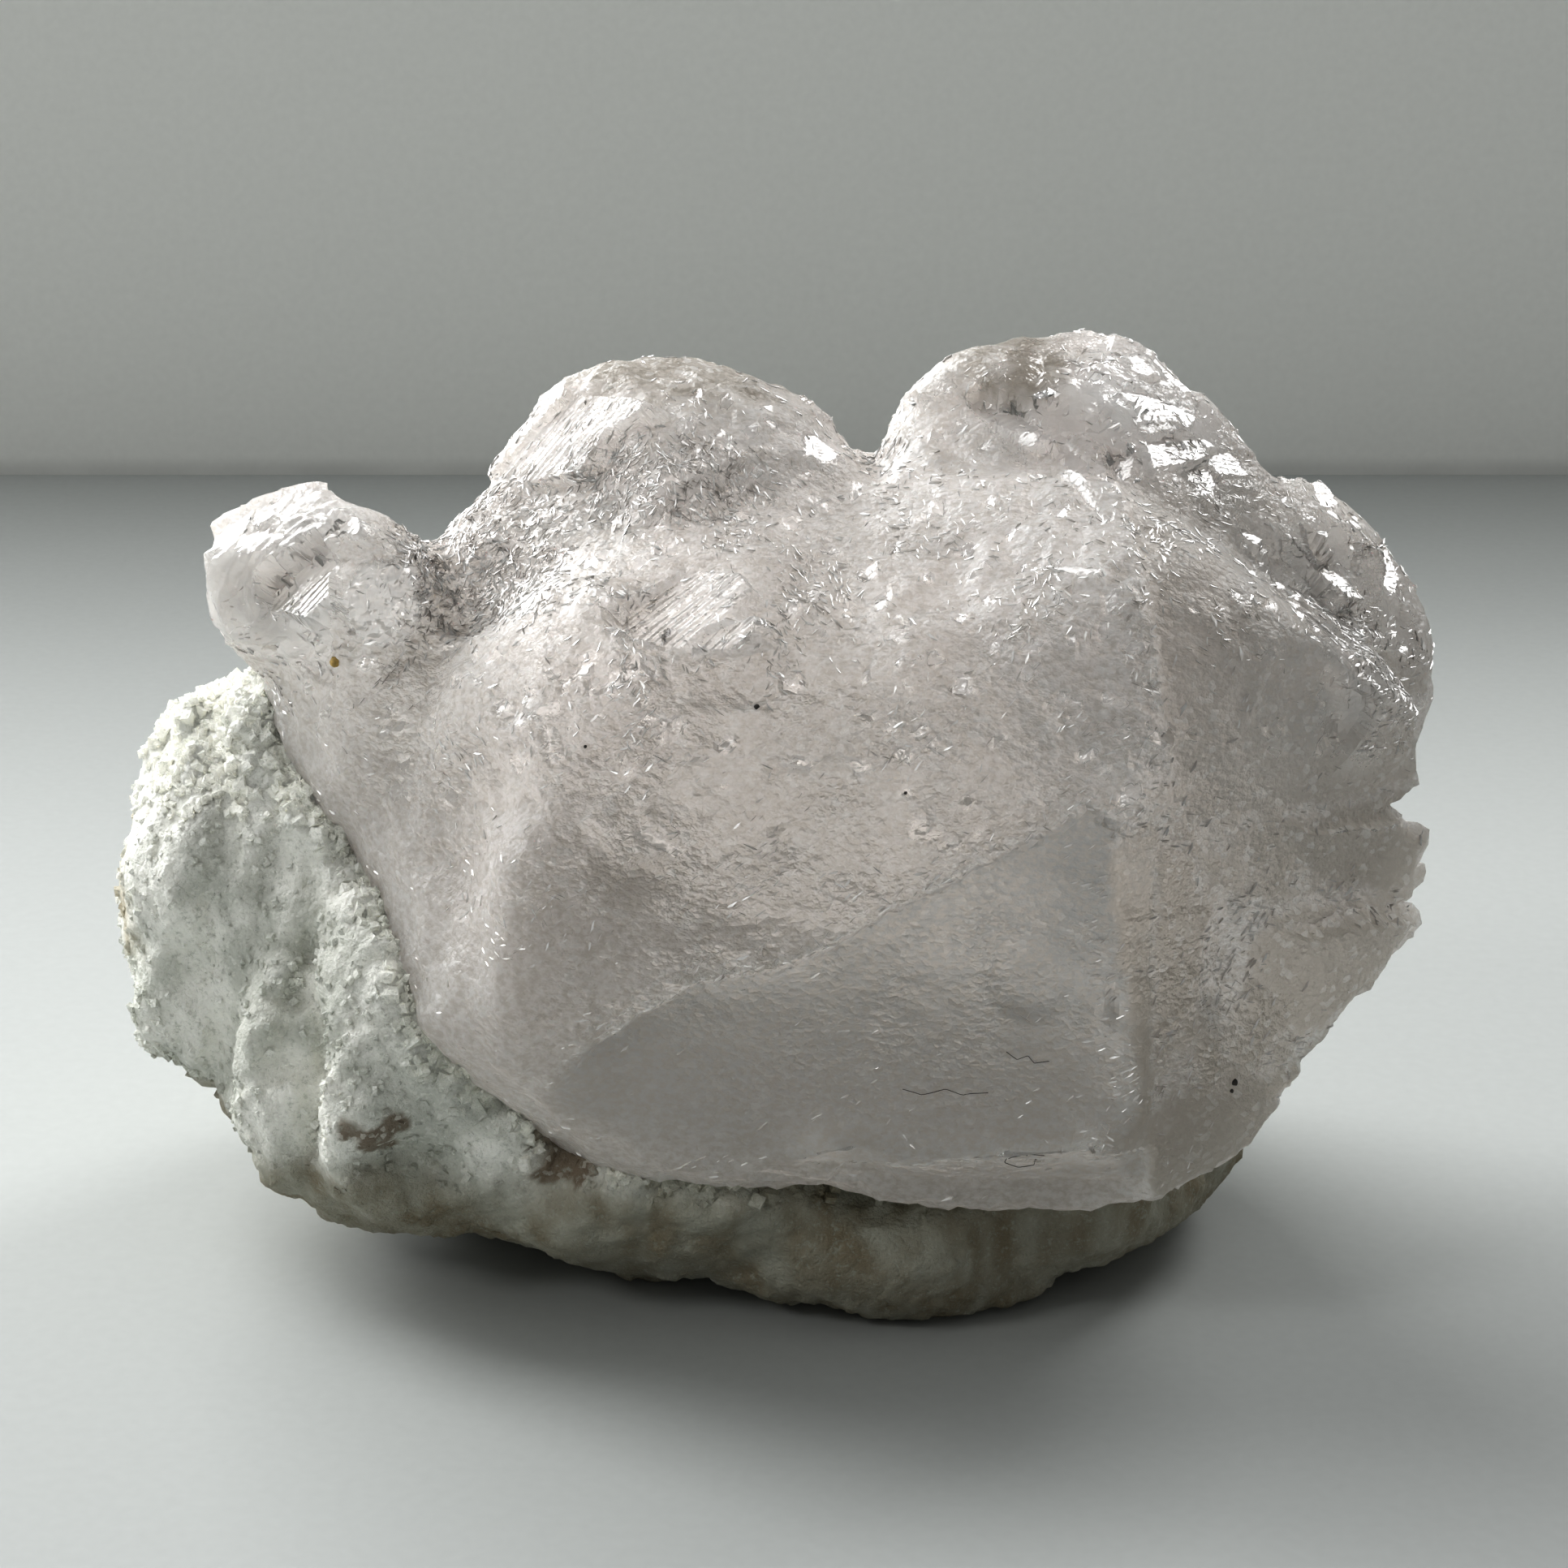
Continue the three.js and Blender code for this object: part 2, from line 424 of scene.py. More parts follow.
class Skin:
    """The fine skin of a solid, as arrays that are worked in millimetres."""

    def __init__(self, node: Object, voxel: float) -> None:
        """Takes a solid's shape and gives it an even, fine skin.

        Args:
            node: the solid.
            voxel: the width of the skin's faces, in millimetres.
        """
        rough = bpy.data.objects.new("rough", node.data.copy())
        bpy.context.scene.collection.objects.link(rough)
        remesh = rough.modifiers.new("skin", "REMESH")
        remesh.mode = "VOXEL"
        remesh.voxel_size = voxel * MM
        graph = bpy.context.evaluated_depsgraph_get()
        fine = bpy.data.meshes.new_from_object(rough.evaluated_get(graph))
        bpy.data.objects.remove(rough)
        self.points = np.empty((len(fine.vertices), 3))
        fine.vertices.foreach_get("co", self.points.ravel())
        self.points /= MM
        corners = np.empty(len(fine.loops), dtype=np.int64)
        fine.loops.foreach_get("vertex_index", corners)
        quads = corners.reshape(-1, 4)
        self.faces = np.concatenate([quads[:, [0, 1, 2]], quads[:, [0, 2, 3]]])
        self.masks: dict[str, np.ndarray] = {}
        bpy.data.meshes.remove(fine)

    def gather(self, values: np.ndarray, owners: np.ndarray, count: int) -> np.ndarray:
        """Adds up rows of values for each owner."""
        return np.stack([np.bincount(owners, values[:, k], count) for k in range(values.shape[1])], axis=1)

    def crosses(self) -> np.ndarray:
        """Each face's normal, twice as long as the face is large."""
        a, b, c = (self.points[self.faces[:, k]] for k in range(3))
        return np.cross(b - a, c - a)

    def normals(self) -> np.ndarray:
        """The way that the skin faces at each point."""
        across = self.crosses()
        return unit(sum(self.gather(across, self.faces[:, k], len(self.points)) for k in range(3)))

    def pick(self, draw: np.random.Generator, density: np.ndarray, count: int) -> np.ndarray:
        """Draws faces at random.

        Args:
            draw: the random numbers.
            density: how crowded the picks are at each point.
            count: how many faces to draw.

        Returns:
            The numbers of the faces.
        """
        weight = np.linalg.norm(self.crosses(), axis=1) * density[self.faces].mean(axis=1)
        return draw.choice(len(weight), count, p=weight / weight.sum())

    def refine(
        self, wanted: Callable[[np.ndarray], np.ndarray], rounds: int = 3, slack: float = 1.35
    ) -> None:
        """Halves the edges that are longer than is wanted where they lie.

        Args:
            wanted: gives the edge length that is wanted at each of some places.
            rounds: how many times an edge may be halved.
            slack: how many times too long an edge may be and stay whole.
        """
        for _ in range(rounds):
            sides = np.stack([self.faces, np.roll(self.faces, -1, axis=1)], axis=2)
            ends, owner = np.unique(np.sort(sides.reshape(-1, 2), axis=1), axis=0, return_inverse=True)
            first, last = self.points[ends[:, 0]], self.points[ends[:, 1]]
            split = np.linalg.norm(last - first, axis=1) > slack * wanted((first + last) / 2)
            number = np.where(split, len(self.points) + np.cumsum(split) - 1, -1)
            self.points = np.concatenate([self.points, ((first + last) / 2)[split]])
            middle = number[owner.reshape(-1, 3)]
            cut = middle >= 0
            count = cut.sum(axis=1)
            past_whole = (~cut).argmax(axis=1) + 1
            turn = np.where(count == 1, cut.argmax(axis=1), np.where(count == 2, past_whole, 0)) % 3
            order = (np.arange(3) + turn[:, None]) % 3
            a, b, c = np.take_along_axis(self.faces, order, axis=1).T
            ab, bc, ca = np.take_along_axis(middle, order, axis=1).T
            parts = [
                (count == 0, ((a, b, c),)),
                (count == 1, ((a, ab, c), (ab, b, c))),
                (count == 2, ((a, ab, c), (ab, b, bc), (ab, bc, c))),
                (count == 3, ((a, ab, ca), (ab, b, bc), (ca, bc, c), (ab, bc, ca))),
            ]
            self.faces = np.concatenate([
                np.stack([side[chosen] for side in face], axis=1)
                for chosen, faces in parts
                for face in faces
            ])

    def smooth(self, rounds: int, share: float = 0.5) -> None:
        """Draws every point towards the middle of its neighbours, a few times.

        Args:
            rounds: how many times.
            share: how far towards the middle a point moves each time.
        """
        sides = np.concatenate([self.faces[:, [i, (i + 1) % 3]] for i in range(3)])
        ends = np.concatenate([sides, sides[:, ::-1]])
        count = np.bincount(ends[:, 0], minlength=len(self.points))[:, None]
        for _ in range(rounds):
            middle = self.gather(self.points[ends[:, 1]], ends[:, 0], len(self.points)) / count
            self.points += share * (middle - self.points)

    def settle(self, limit: np.ndarray, rounds: int = 25) -> None:
        """Pulls back the points that stand out too far from the skin around them.

        Args:
            limit: how far each point may stand out, in millimetres.
            rounds: how widely the skin around a point is averaged.
        """
        worked = self.points.copy()
        self.smooth(rounds)
        out = worked - self.points
        far = np.linalg.norm(out, axis=1)
        self.points += out * np.minimum(1, limit / np.maximum(far, TINY))[:, None]

    def push(self, height: np.ndarray) -> None:
        """Moves every point out along the skin's normal."""
        self.points += height[:, None] * self.normals()

    def cells(
        self, spacing: np.ndarray, draw: Draw, lean: float = 0.0
    ) -> tuple[np.ndarray, np.ndarray, np.ndarray, np.ndarray]:
        """Parts the skin into random cells.

        Args:
            spacing: the mean size of a cell along x, y and z.
            draw: the seed.
            lean: how far the cells dip to the right, in degrees.

        Returns:
            The cell that each point lies in, and each cell's number of points, middle and normal.
        """
        name = nearest_seeds(self.points, spacing, draw, lean)
        size = np.bincount(name)
        middle = self.gather(self.points, name, len(size)) / size[:, None]
        return name, size, middle, unit(self.gather(self.normals(), name, len(size)))

    def cleave(self, kind: Splinters, strength: np.ndarray) -> np.ndarray:
        """Breaks the skin into flat facets that meet at crisp edges.

        Args:
            kind: the facets.
            strength: how far each point moves to its facet, from 0 to 1.

        Returns:
            A random number from 0 to 1 for each point, the same all over a facet.
        """
        normals = self.normals()
        name, size, middle, mean = self.cells(np.array(kind.spacing), kind.draw, kind.lean)
        turn = random_rows(len(size), kind.draw) * 2 - 1
        facing = unit(mean + turn * math.tan(math.radians(kind.tilt)))
        slope = np.maximum(dot(normals, facing[name]), 0.5)
        move = dot(middle[name] - self.points, facing[name]) / slope
        limit = min(kind.spacing) * 0.2
        self.points += (np.clip(move, -limit, limit) * strength)[:, None] * normals
        return (turn[name, 0] + 1) / 2

    def chip(self, kind: Chips, share: np.ndarray) -> np.ndarray:
        """Breaks out small steps whose flat sides all face one of the cleavage ways.

        Args:
            kind: the steps.
            share: the share of the skin that is broken, at each point.

        Returns:
            1 on the points that lie on a broken step, and 0 elsewhere.
        """
        normals = self.normals()
        name, size, middle, mean = self.cells(kind.width * np.array(kind.stretch), Draw.CHIPS)
        drawn = random_rows(len(size), Draw.CHIPS)
        fits = mean @ CLEAVAGE.T + 0.5 * random_rows(len(size), Draw.FLAKES)
        facing = unit(CLEAVAGE[fits.argmax(axis=1)] + 0.16 * (drawn - 0.5))
        slope = dot(mean, facing)
        chosen = (drawn[:, 0] < (np.bincount(name, share) / size)) & (slope > kind.steepest)
        move = dot(middle[name] - self.points, facing[name]) / np.maximum(slope[name], kind.steepest)
        on_step = chosen[name].astype(float)
        self.points += (np.clip(move, -kind.depth, kind.depth) * on_step)[:, None] * normals
        return on_step

    def piece(self, name: str, sharp: float, material: Material) -> Object:
        """Makes the worked skin into a piece that rides on the root body.

        Args:
            name: the piece's name.
            sharp: the angle above which an edge is drawn crisp, in degrees.
            material: what it is made of.

        Returns:
            The new object.
        """
        made = add_object(name, self.points, self.faces.tolist(), material, self.masks)
        made.data.shade_smooth()
        made.data.set_sharp_from_angle(angle=math.radians(sharp))
        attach(made, "root")
        return made


# ---------------------------------------------------------------- finishes


class Nodes:
    """Shorthand for laying out a material's or a group's nodes."""

    def __init__(self, tree: NodeTree) -> None:
        """Starts on a tree."""
        self.tree = tree

    def add(self, kind: str, settings: dict | None = None, **inputs: object) -> Node:
        """Adds a node.

        Args:
            kind: the node's type, without its "ShaderNode" prefix.
            settings: properties to set on the node itself.
            **inputs: what its sockets take, as for `feed`.

        Returns:
            The new node.
        """
        node = self.tree.nodes.new(kind if kind.startswith("Node") else "ShaderNode" + kind)
        for key, value in (settings or {}).items():
            setattr(node, key, value)
        self.feed(node, **inputs)
        return node

    def feed(self, node: Node, **inputs: object) -> None:
        """Links or sets some of a node's sockets.

        Args:
            node: the node.
            **inputs: links or plain values, with _ for a space and a number as in0, in1.
        """
        for key, value in inputs.items():
            numbered = key[:2] == "in" and key[2:].isdigit()
            socket = node.inputs[int(key[2:]) if numbered else key.replace("_", " ")]
            if isinstance(value, NodeSocket):
                self.tree.links.new(value, socket)
            else:
                socket.default_value = (*value, 1.0) if socket.type == "RGBA" else value

    def end(self, **shaders: NodeSocket) -> None:
        """Links the material's last shaders, by the name of the output's socket."""
        self.feed(self.tree.nodes["Material Output"], **shaders)

    def math(self, kind: str, a: object, b: object = 0.0, c: object = 0.0) -> NodeSocket:
        """A Math node's result."""
        return self.add("Math", {"operation": kind}, in0=a, in1=b, in2=c).outputs[0]

    def times(self, a: object, b: object) -> NodeSocket:
        """The product of two values."""
        return self.math("MULTIPLY", a, b)

    def vector(self, kind: str, a: object, b: object) -> Node:
        """A Vector Math node."""
        return self.add("VectorMath", {"operation": kind}, in0=a, in1=b)

    def ramp(self, value: NodeSocket, low: float, high: float) -> NodeSocket:
        """Eases a value from 0 at `low` to 1 at `high`."""
        eased = {"interpolation_type": "SMOOTHSTEP"}
        return self.add("MapRange", eased, Value=value, From_Min=low, From_Max=high).outputs["Result"]

    def blend(self, share: object, a: object, b: object) -> NodeSocket:
        """Mixes two colours."""
        return self.add("Mix", {"data_type": "RGBA"}, in0=share, in6=a, in7=b).outputs[2]

    def mask(self, name: str) -> NodeSocket:
        """A mask that the skin carries."""
        return self.add("Attribute", {"attribute_name": name}).outputs["Fac"]

    def noise(self, vector: object, wave: float, detail: float = 3.0, rough: float = 0.5) -> NodeSocket:
        """Noise with bumps of `wave` millimetres."""
        sizes = {"Scale": 1 / (wave * MM), "Detail": detail, "Roughness": rough}
        return self.add("TexNoise", None, Vector=vector, **sizes).outputs["Fac"]

    def grains(self, group: NodeTree, vector: object, scale: float, share: float) -> Node:
        """Places the small-grains group, with its own values."""
        return self.add("Group", {"node_tree": group}, Vector=vector, Scale=scale, Share=share)

    def place(self) -> NodeSocket:
        """The place on the piece, in metres."""
        return self.add("TexCoord").outputs["Object"]

    def backfacing(self) -> NodeSocket:
        """1 where a surface is seen from behind."""
        return self.add("NewGeometry").outputs["Backfacing"]

    def bump(self, strength: float, depth: float, height: NodeSocket) -> NodeSocket:
        """The normal of a fine relief, `depth` millimetres deep."""
        return self.add("Bump", None, Strength=strength, Distance=depth * MM, Height=height).outputs[0]


def new_material(name: str) -> tuple[Material, Nodes, Node]:
    """Starts a material.

    Args:
        name: its name.

    Returns:
        The material, its Nodes and its main shader.
    """
    made = bpy.data.materials.new(name)
    made.use_nodes = True
    return made, Nodes(made.node_tree), made.node_tree.nodes["Principled BSDF"]


def grain_group() -> NodeTree:
    """Builds the group that gives a surface its small grains: cells with flat, tilted tops.

    Returns:
        The group. Height runs from 0 to 1, and Speck is 1 on a few scattered grains.
    """
    tree = bpy.data.node_groups.new("Small grains", "ShaderNodeTree")
    tree.interface.new_socket("Vector", in_out="INPUT", socket_type="NodeSocketVector")
    for label in ("Scale", "Share"):
        tree.interface.new_socket(label, in_out="INPUT", socket_type="NodeSocketFloat")
    for label in ("Height", "Speck"):
        tree.interface.new_socket(label, in_out="OUTPUT", socket_type="NodeSocketFloat")
    nodes = Nodes(tree)
    given, out = nodes.add("NodeGroupInput").outputs, nodes.add("NodeGroupOutput")
    cell = nodes.add(
        "TexVoronoi", {"feature": "F1"}, Vector=given["Vector"], Scale=given["Scale"], Randomness=1.0
    )
    tops = nodes.vector("SUBTRACT", given["Vector"], cell.outputs["Position"])
    lean = nodes.vector("SUBTRACT", cell.outputs["Color"], (0.5, 0.5, 0.5))
    slope = nodes.vector("DOT_PRODUCT", tops.outputs[0], lean.outputs[0]).outputs["Value"]
    tilted = nodes.math("MULTIPLY_ADD", nodes.times(slope, given["Scale"]), 0.6, 0.6)
    pick = nodes.add("SeparateColor", None, Color=cell.outputs["Color"]).outputs[0]
    nodes.feed(
        out,
        Height=nodes.math("SUBTRACT", tilted, cell.outputs["Distance"]),
        Speck=nodes.math("LESS_THAN", pick, given["Share"]),
    )
    return tree


@dataclass(frozen=True)
class CrystalFinish:
    """See-through pink crystal: frosted by etching, glassy on its cleavage faces.

    Attributes:
        clear, pink, milk: the body's own tints; milk is also the colour of the painted highlights on edges,
            bright patches and the foil.
        dull: the worn skin on the tops of the domes; it also paints the shade in a hollow on the front.
        shade, speck: the shallow and the deep slits of the etching.
        calm, flank, deep: the smooth plate, the cleaved flank and the clearest places.
        inner, inner_top: how pale the cloudy inside is low and high in the crystal: paler low down as
            painted light, darker high up as painted shade.
        through: how much light passes the skin.
        index: the index of refraction.
        absorb, density: the colour and the strength of the absorption.
        glow, glow_depth: how far light spreads under the skin, in millimetres.
        frosted, glassy: the roughness of etched skin and of broken faces.
        lean, stretch: how the etching dips and how long its grains are.
        etch_wave: the size of the etching's grain, in millimetres.
        etch_depth: how deep the finest etching is, in millimetres.
        sugar_scale, sugar_share: how fine the small grains are, and how many are pale.
        striae_scale: how close the striae lie, per metre.
        deepest: the number of surfaces past which a ray meets the cloudy inside.
    """

    clear: Vec = (0.98, 0.96, 0.93)
    pink: Vec = (0.96, 0.89, 0.86)
    milk: Vec = (1.0, 0.99, 0.97)
    dull: Vec = (0.36, 0.325, 0.275)
    shade: Vec = (0.70, 0.65, 0.59)
    speck: Vec = (0.30, 0.26, 0.23)
    calm: Vec = (0.58, 0.59, 0.585)
    flank: Vec = (0.62, 0.575, 0.515)
    deep: Vec = (0.62, 0.61, 0.59)
    # Painted light and shade: the inside is paler low down, to make up for the light that the foot lacks,
    # and darker high up, under the strong window light.
    inner: Vec = (0.93, 0.91, 0.88)
    inner_top: Vec = (0.21, 0.21, 0.205)
    through: float = 0.5
    index: float = 1.66
    absorb: Vec = (0.93, 0.82, 0.79)
    density: float = 16.0
    glow: Vec = (1.0, 0.90, 0.84)
    glow_depth: float = 7.0
    frosted: float = 0.50
    glassy: float = 0.06
    lean: Vec = (0.0, -0.6, 0.0)
    stretch: Vec = (0.75, 1.0, 1.0)
    etch_wave: float = 0.34
    etch_depth: float = 0.3
    sugar_scale: float = 3300.0
    sugar_share: float = 0.14
    striae_scale: float = 700.0
    deepest: float = 0.5

    def material(self, grains: NodeTree) -> Material:
        """Builds the material.

        Args:
            grains: the small-grains group.

        Returns:
            The material, which reads the masks that the crystal's skin carries.
        """
        made, nodes, shader = new_material("Kunzite crystal")
        place, gloss = nodes.place(), nodes.mask("gloss")
        lean = nodes.add("Mapping", None, Vector=place, Rotation=self.lean, Scale=self.stretch).outputs[0]
        fine = nodes.noise(lean, self.etch_wave, 2.0, 0.75)
        sugar = nodes.grains(grains, lean, self.sugar_scale, self.sugar_share)
        rough = nodes.add("Mix", None, in0=gloss, in2=self.frosted, in3=self.glassy).outputs[0]
        uneven = nodes.math("MULTIPLY_ADD", fine, 0.3, nodes.math("SUBTRACT", rough, 0.15))
        relief = self.relief(nodes, place, fine, sugar.outputs["Height"])
        shader.subsurface_method = "BURLEY"
        nodes.feed(
            shader,
            Base_Color=self.colour(nodes, gloss, fine, sugar.outputs["Speck"]),
            Roughness=nodes.math("MAXIMUM", uneven, 0.03),
            Normal=nodes.bump(0.85, self.etch_depth, relief),
            Transmission_Weight=self.through,
            IOR=self.index,
            Subsurface_Weight=1.0,
            Subsurface_Radius=self.glow,
            Subsurface_Scale=self.glow_depth * MM,
        )
        inside = nodes.add("VolumeAbsorption", None, Density=self.density, Color=self.absorb)
        deep = nodes.math("GREATER_THAN", nodes.add("LightPath").outputs["Ray Depth"], self.deepest)
        # Painted light and shade: the height mask turns the inside from pale low down to dark high up and
        # towards the right.
        inside_with_painted_light = nodes.blend(nodes.mask("high"), self.inner, self.inner_top)
        plain = ("BsdfDiffuse", "BsdfTranslucent")
        lit, lent = (nodes.add(kind, None, Color=inside_with_painted_light).outputs[0] for kind in plain)
        far = nodes.add("MixShader", None, in0=nodes.backfacing(), in1=lit, in2=lent).outputs[0]
        both = nodes.add("MixShader", None, in0=deep, in1=shader.outputs[0], in2=far).outputs[0]
        nodes.end(Surface=both, Volume=inside.outputs[0])
        return made

    def relief(self, nodes: Nodes, place: NodeSocket, fine: NodeSocket, tops: NodeSocket) -> NodeSocket:
        """Adds the finest etching and striae.

        Args:
            nodes: the material's nodes.
            place: the place on the piece.
            fine: the fine grain of the etching.
            tops: the height of the small grains.

        Returns:
            The height of the relief.
        """
        matt = nodes.times(nodes.math("MULTIPLY_ADD", tops, 0.5, fine), nodes.mask("etch"))
        across = nodes.vector("DOT_PRODUCT", place, Crystal.grain).outputs["Value"]
        line = nodes.add("CombineXYZ", None, X=across).outputs[0]
        sizes = {"Scale": self.striae_scale, "Distortion": 2.5, "Detail": 1.0}
        wave = nodes.add("TexWave", {"bands_direction": "X"}, Vector=line, **sizes)
        grooves = nodes.times(wave.outputs["Fac"], nodes.mask("striae"))
        return nodes.math("MULTIPLY_ADD", grooves, 0.3, matt)

    def colour(self, nodes: Nodes, gloss: NodeSocket, fine: NodeSocket, pale: NodeSocket) -> NodeSocket:
        """Mixes the pink, the milky clouds with the painted highlights that share their mask, the dull skin
        with the painted shade in a hollow, and the dark slits.

        Args:
            nodes: the material's nodes.
            gloss: the mask of glassy faces.
            fine: the fine grain of the etching.
            pale: the mask of scattered pale grains.

        Returns:
            The colour.
        """
        body = self.clear
        for mask, tint in (
            ("warm", self.pink),
            ("milk", self.milk),
            ("calm", self.calm),
            ("flank", self.flank),
            ("deep", self.deep),
            ("dull", self.dull),
        ):
            body = nodes.blend(nodes.mask(mask), body, tint)
        matt = nodes.math("SUBTRACT", 1.0, gloss)
        shade = nodes.times(nodes.ramp(fine, 0.66, 0.32), nodes.times(matt, 0.7))
        frost = nodes.times(nodes.times(matt, 0.6), nodes.mask("etch"))
        slit = nodes.times(nodes.ramp(fine, 0.215, 0.18), nodes.times(matt, 0.6))
        shaded = nodes.blend(nodes.times(pale, frost), nodes.blend(shade, body, self.shade), self.milk)
        return nodes.blend(slit, shaded, self.speck)


@dataclass(frozen=True)
class FlakeFinish:
    """Smooth cleavage on the small flakes, painted near white: a painted glint besides their real gloss."""

    # Painted glint: a near-white colour, so that the flakes show as white glints even where no lamp is
    # mirrored.
    pale: Vec = (0.90, 0.89, 0.87)
    pink: Vec = (0.62, 0.58, 0.54)
    rough: float = 0.08
    uneven: float = 0.16
    index: float = 1.66

    def material(self) -> Material:
        """Builds the material.

        Returns:
            The material.
        """
        made, nodes, shader = new_material("Kunzite flakes")
        grain = nodes.noise(nodes.place(), 0.8, 2.0)
        nodes.feed(
            shader,
            Base_Color=nodes.blend(nodes.ramp(grain, 0.35, 0.65), self.pale, self.pink),
            Roughness=nodes.math("MULTIPLY_ADD", grain, self.uneven, self.rough),
            IOR=self.index,
        )
        return made


@dataclass(frozen=True)
class GritFinish:
    """A grain of dirt: its colour, a little uneven."""

    name: str
    colour: Vec
    paler: float = 1.6

    def material(self) -> Material:
        """Builds the material.

        Returns:
            The material.
        """
        made, nodes, shader = new_material(self.name)
        grain = nodes.ramp(nodes.noise(nodes.place(), 0.3, 2.0), 0.3, 0.7)
        pale = tuple(min(1.0, self.paler * part) for part in self.colour)
        nodes.feed(shader, Base_Color=nodes.blend(grain, self.colour, pale), Roughness=0.7)
        return made


@dataclass(frozen=True)
class FeldsparFinish:
    """Sugary white feldspar, grey-green and brown below.

    Attributes:
        white, grey: the clean feldspar and its cloudy places.
        olive, ash: the weathered underside.
        brown, yellow: the pits' filling and the stain.
        rough: the roughness between the grains.
        glow, glow_scale, glow_reach: how much light spreads under the skin, how far, in
            millimetres, and how far each colour of it.
        grain_wave: the size of the skin's grain, in millimetres.
        grain_depth: how deep the finest grain is, in millimetres.
        sugar_scale, sugar_share: how fine the small grains are, and how many glint.
    """

    white: Vec = (0.97, 0.97, 0.91)
    grey: Vec = (0.50, 0.52, 0.46)
    olive: Vec = (0.30, 0.265, 0.19)
    ash: Vec = (0.44, 0.43, 0.36)
    brown: Vec = (0.20, 0.15, 0.10)
    yellow: Vec = (0.60, 0.50, 0.33)
    rough: float = 0.62
    glow: float = 0.35
    glow_scale: float = 1.1
    glow_reach: Vec = (1.0, 0.95, 0.85)
    grain_wave: float = 0.36
    grain_depth: float = 0.28
    sugar_scale: float = 4200.0
    sugar_share: float = 0.12

    def material(self, grains: NodeTree) -> Material:
        """Builds the material.

        Args:
            grains: the small-grains group.

        Returns:
            The material, which reads the masks that the matrix's skin carries.
        """
        made, nodes, shader = new_material("Feldspar matrix")
        place = nodes.place()
        fine = nodes.noise(place, self.grain_wave, 3.0, 0.8)
        sugar = nodes.grains(grains, place, self.sugar_scale, self.sugar_share)
        glint = sugar.outputs["Speck"]
        relief = nodes.math("MULTIPLY_ADD", sugar.outputs["Height"], 0.35, fine)
        shader.subsurface_method = "BURLEY"
        nodes.feed(
            shader,
            Base_Color=self.colour(nodes, fine, glint),
            Roughness=nodes.math("MULTIPLY_ADD", glint, -0.3, self.rough),
            Normal=nodes.bump(0.8, self.grain_depth, relief),
            Subsurface_Weight=self.glow,
            Subsurface_Radius=self.glow_reach,
            Subsurface_Scale=self.glow_scale * MM,
        )
        return made

    def colour(self, nodes: Nodes, fine: NodeSocket, glint: NodeSocket) -> NodeSocket:
        """Mixes the clean feldspar with its clouds, stains and weathered underside.

        Args:
            nodes: the material's nodes.
            fine: the fine grain of the skin.
            glint: the mask of scattered bright grains.

        Returns:
            The colour.
        """
        cloud, weathered = nodes.mask("cloud"), nodes.mask("low")
        clean = nodes.blend(nodes.times(cloud, 0.55), self.white, self.grey)
        low = nodes.blend(nodes.mask("streak"), self.olive, self.ash)
        colour = nodes.blend(weathered, clean, low)
        colour = nodes.blend(nodes.times(nodes.mask("stain"), cloud), colour, self.yellow)
        colour = nodes.blend(nodes.mask("pits"), colour, self.brown)
        colour = nodes.blend(nodes.times(nodes.mask("hollow"), 0.2), colour, self.grey)
        colour = nodes.blend(nodes.times(nodes.ramp(fine, 0.50, 0.28), 0.6), colour, self.grey)
        bright = nodes.times(glint, nodes.times(nodes.math("SUBTRACT", 1.0, weathered), 0.4))
        return nodes.blend(bright, colour, self.white)


@dataclass(frozen=True)
class PaperFinish:
    """Matt pale paper, with a faint grain, and on the wall a painted shade along its foot.

    Attributes:
        name: the material's name.
        colour: its colour.
        see_from_behind: whether it can be looked through from behind.
        seam: where the painted shade along its foot ends and starts, in millimetres.
        rough: its roughness.
        shine: how strong its gloss is.
        darker, corner_shade_darker: how much darker the grain and the painted shade along the foot are.
    """

    name: str
    colour: Vec
    see_from_behind: bool = False
    seam: tuple[float, float] | None = None
    rough: float = 0.7
    shine: float = 0.25
    darker: float = 0.94
    corner_shade_darker: float = 0.6

    def material(self) -> Material:
        """Builds the material.

        Returns:
            The material.
        """
        made, nodes, shader = new_material(self.name)
        place = nodes.place()
        colour = nodes.blend(nodes.noise(place, 0.7, 1.0), self.toned(self.darker), self.colour)
        if self.seam:
            height = nodes.add("SeparateXYZ", None, Vector=place).outputs[2]
            band = nodes.ramp(height, *(reach * MM for reach in self.seam))
            # Painted shade: a darker, uneven band along the wall's foot, where it meets the table.
            painted_corner_shade = nodes.math("MULTIPLY_ADD", nodes.noise(place, 9.0, 1.0), 0.6, 0.1)
            colour = nodes.blend(nodes.times(band, painted_corner_shade), colour, self.toned(self.corner_shade_darker))
        nodes.feed(shader, Base_Color=colour, Roughness=self.rough, Specular_IOR_Level=self.shine)
        if self.see_from_behind:
            clear = nodes.add("BsdfTransparent").outputs[0]
            both = nodes.add("MixShader", None, in0=nodes.backfacing(), in1=shader.outputs[0], in2=clear)
            nodes.end(Surface=both.outputs[0])
        return made

    def toned(self, share: float) -> Vec:
        """The colour, made darker."""
        return tuple(share * part for part in self.colour)


# ---------------------------------------------------------------- the specimen


@dataclass(frozen=True)
class Widths:
    """How wide the faces of the crystal's skin may be, in millimetres."""

    plain: float = 1.0
    steps: float = 0.38
    upper: float = 0.32
    edge: float = 0.27
    rim: float = 0.22
    facet: float = 0.15
    wrinkled: float = 0.11


@dataclass(frozen=True)
class Zones:
    """How far each point of the crystal's skin lies in some kinds of places, from 0 to 1.

    Attributes:
        calm: the smooth plate, and less so the flank.
        broken: the most splintered places.
        worn: the dull tops of the domes.
        drips: the places with melted-looking drips.
        knob: the knob at the left end.
    """

    calm: np.ndarray
    broken: np.ndarray
    worn: np.ndarray
    drips: np.ndarray
    knob: np.ndarray


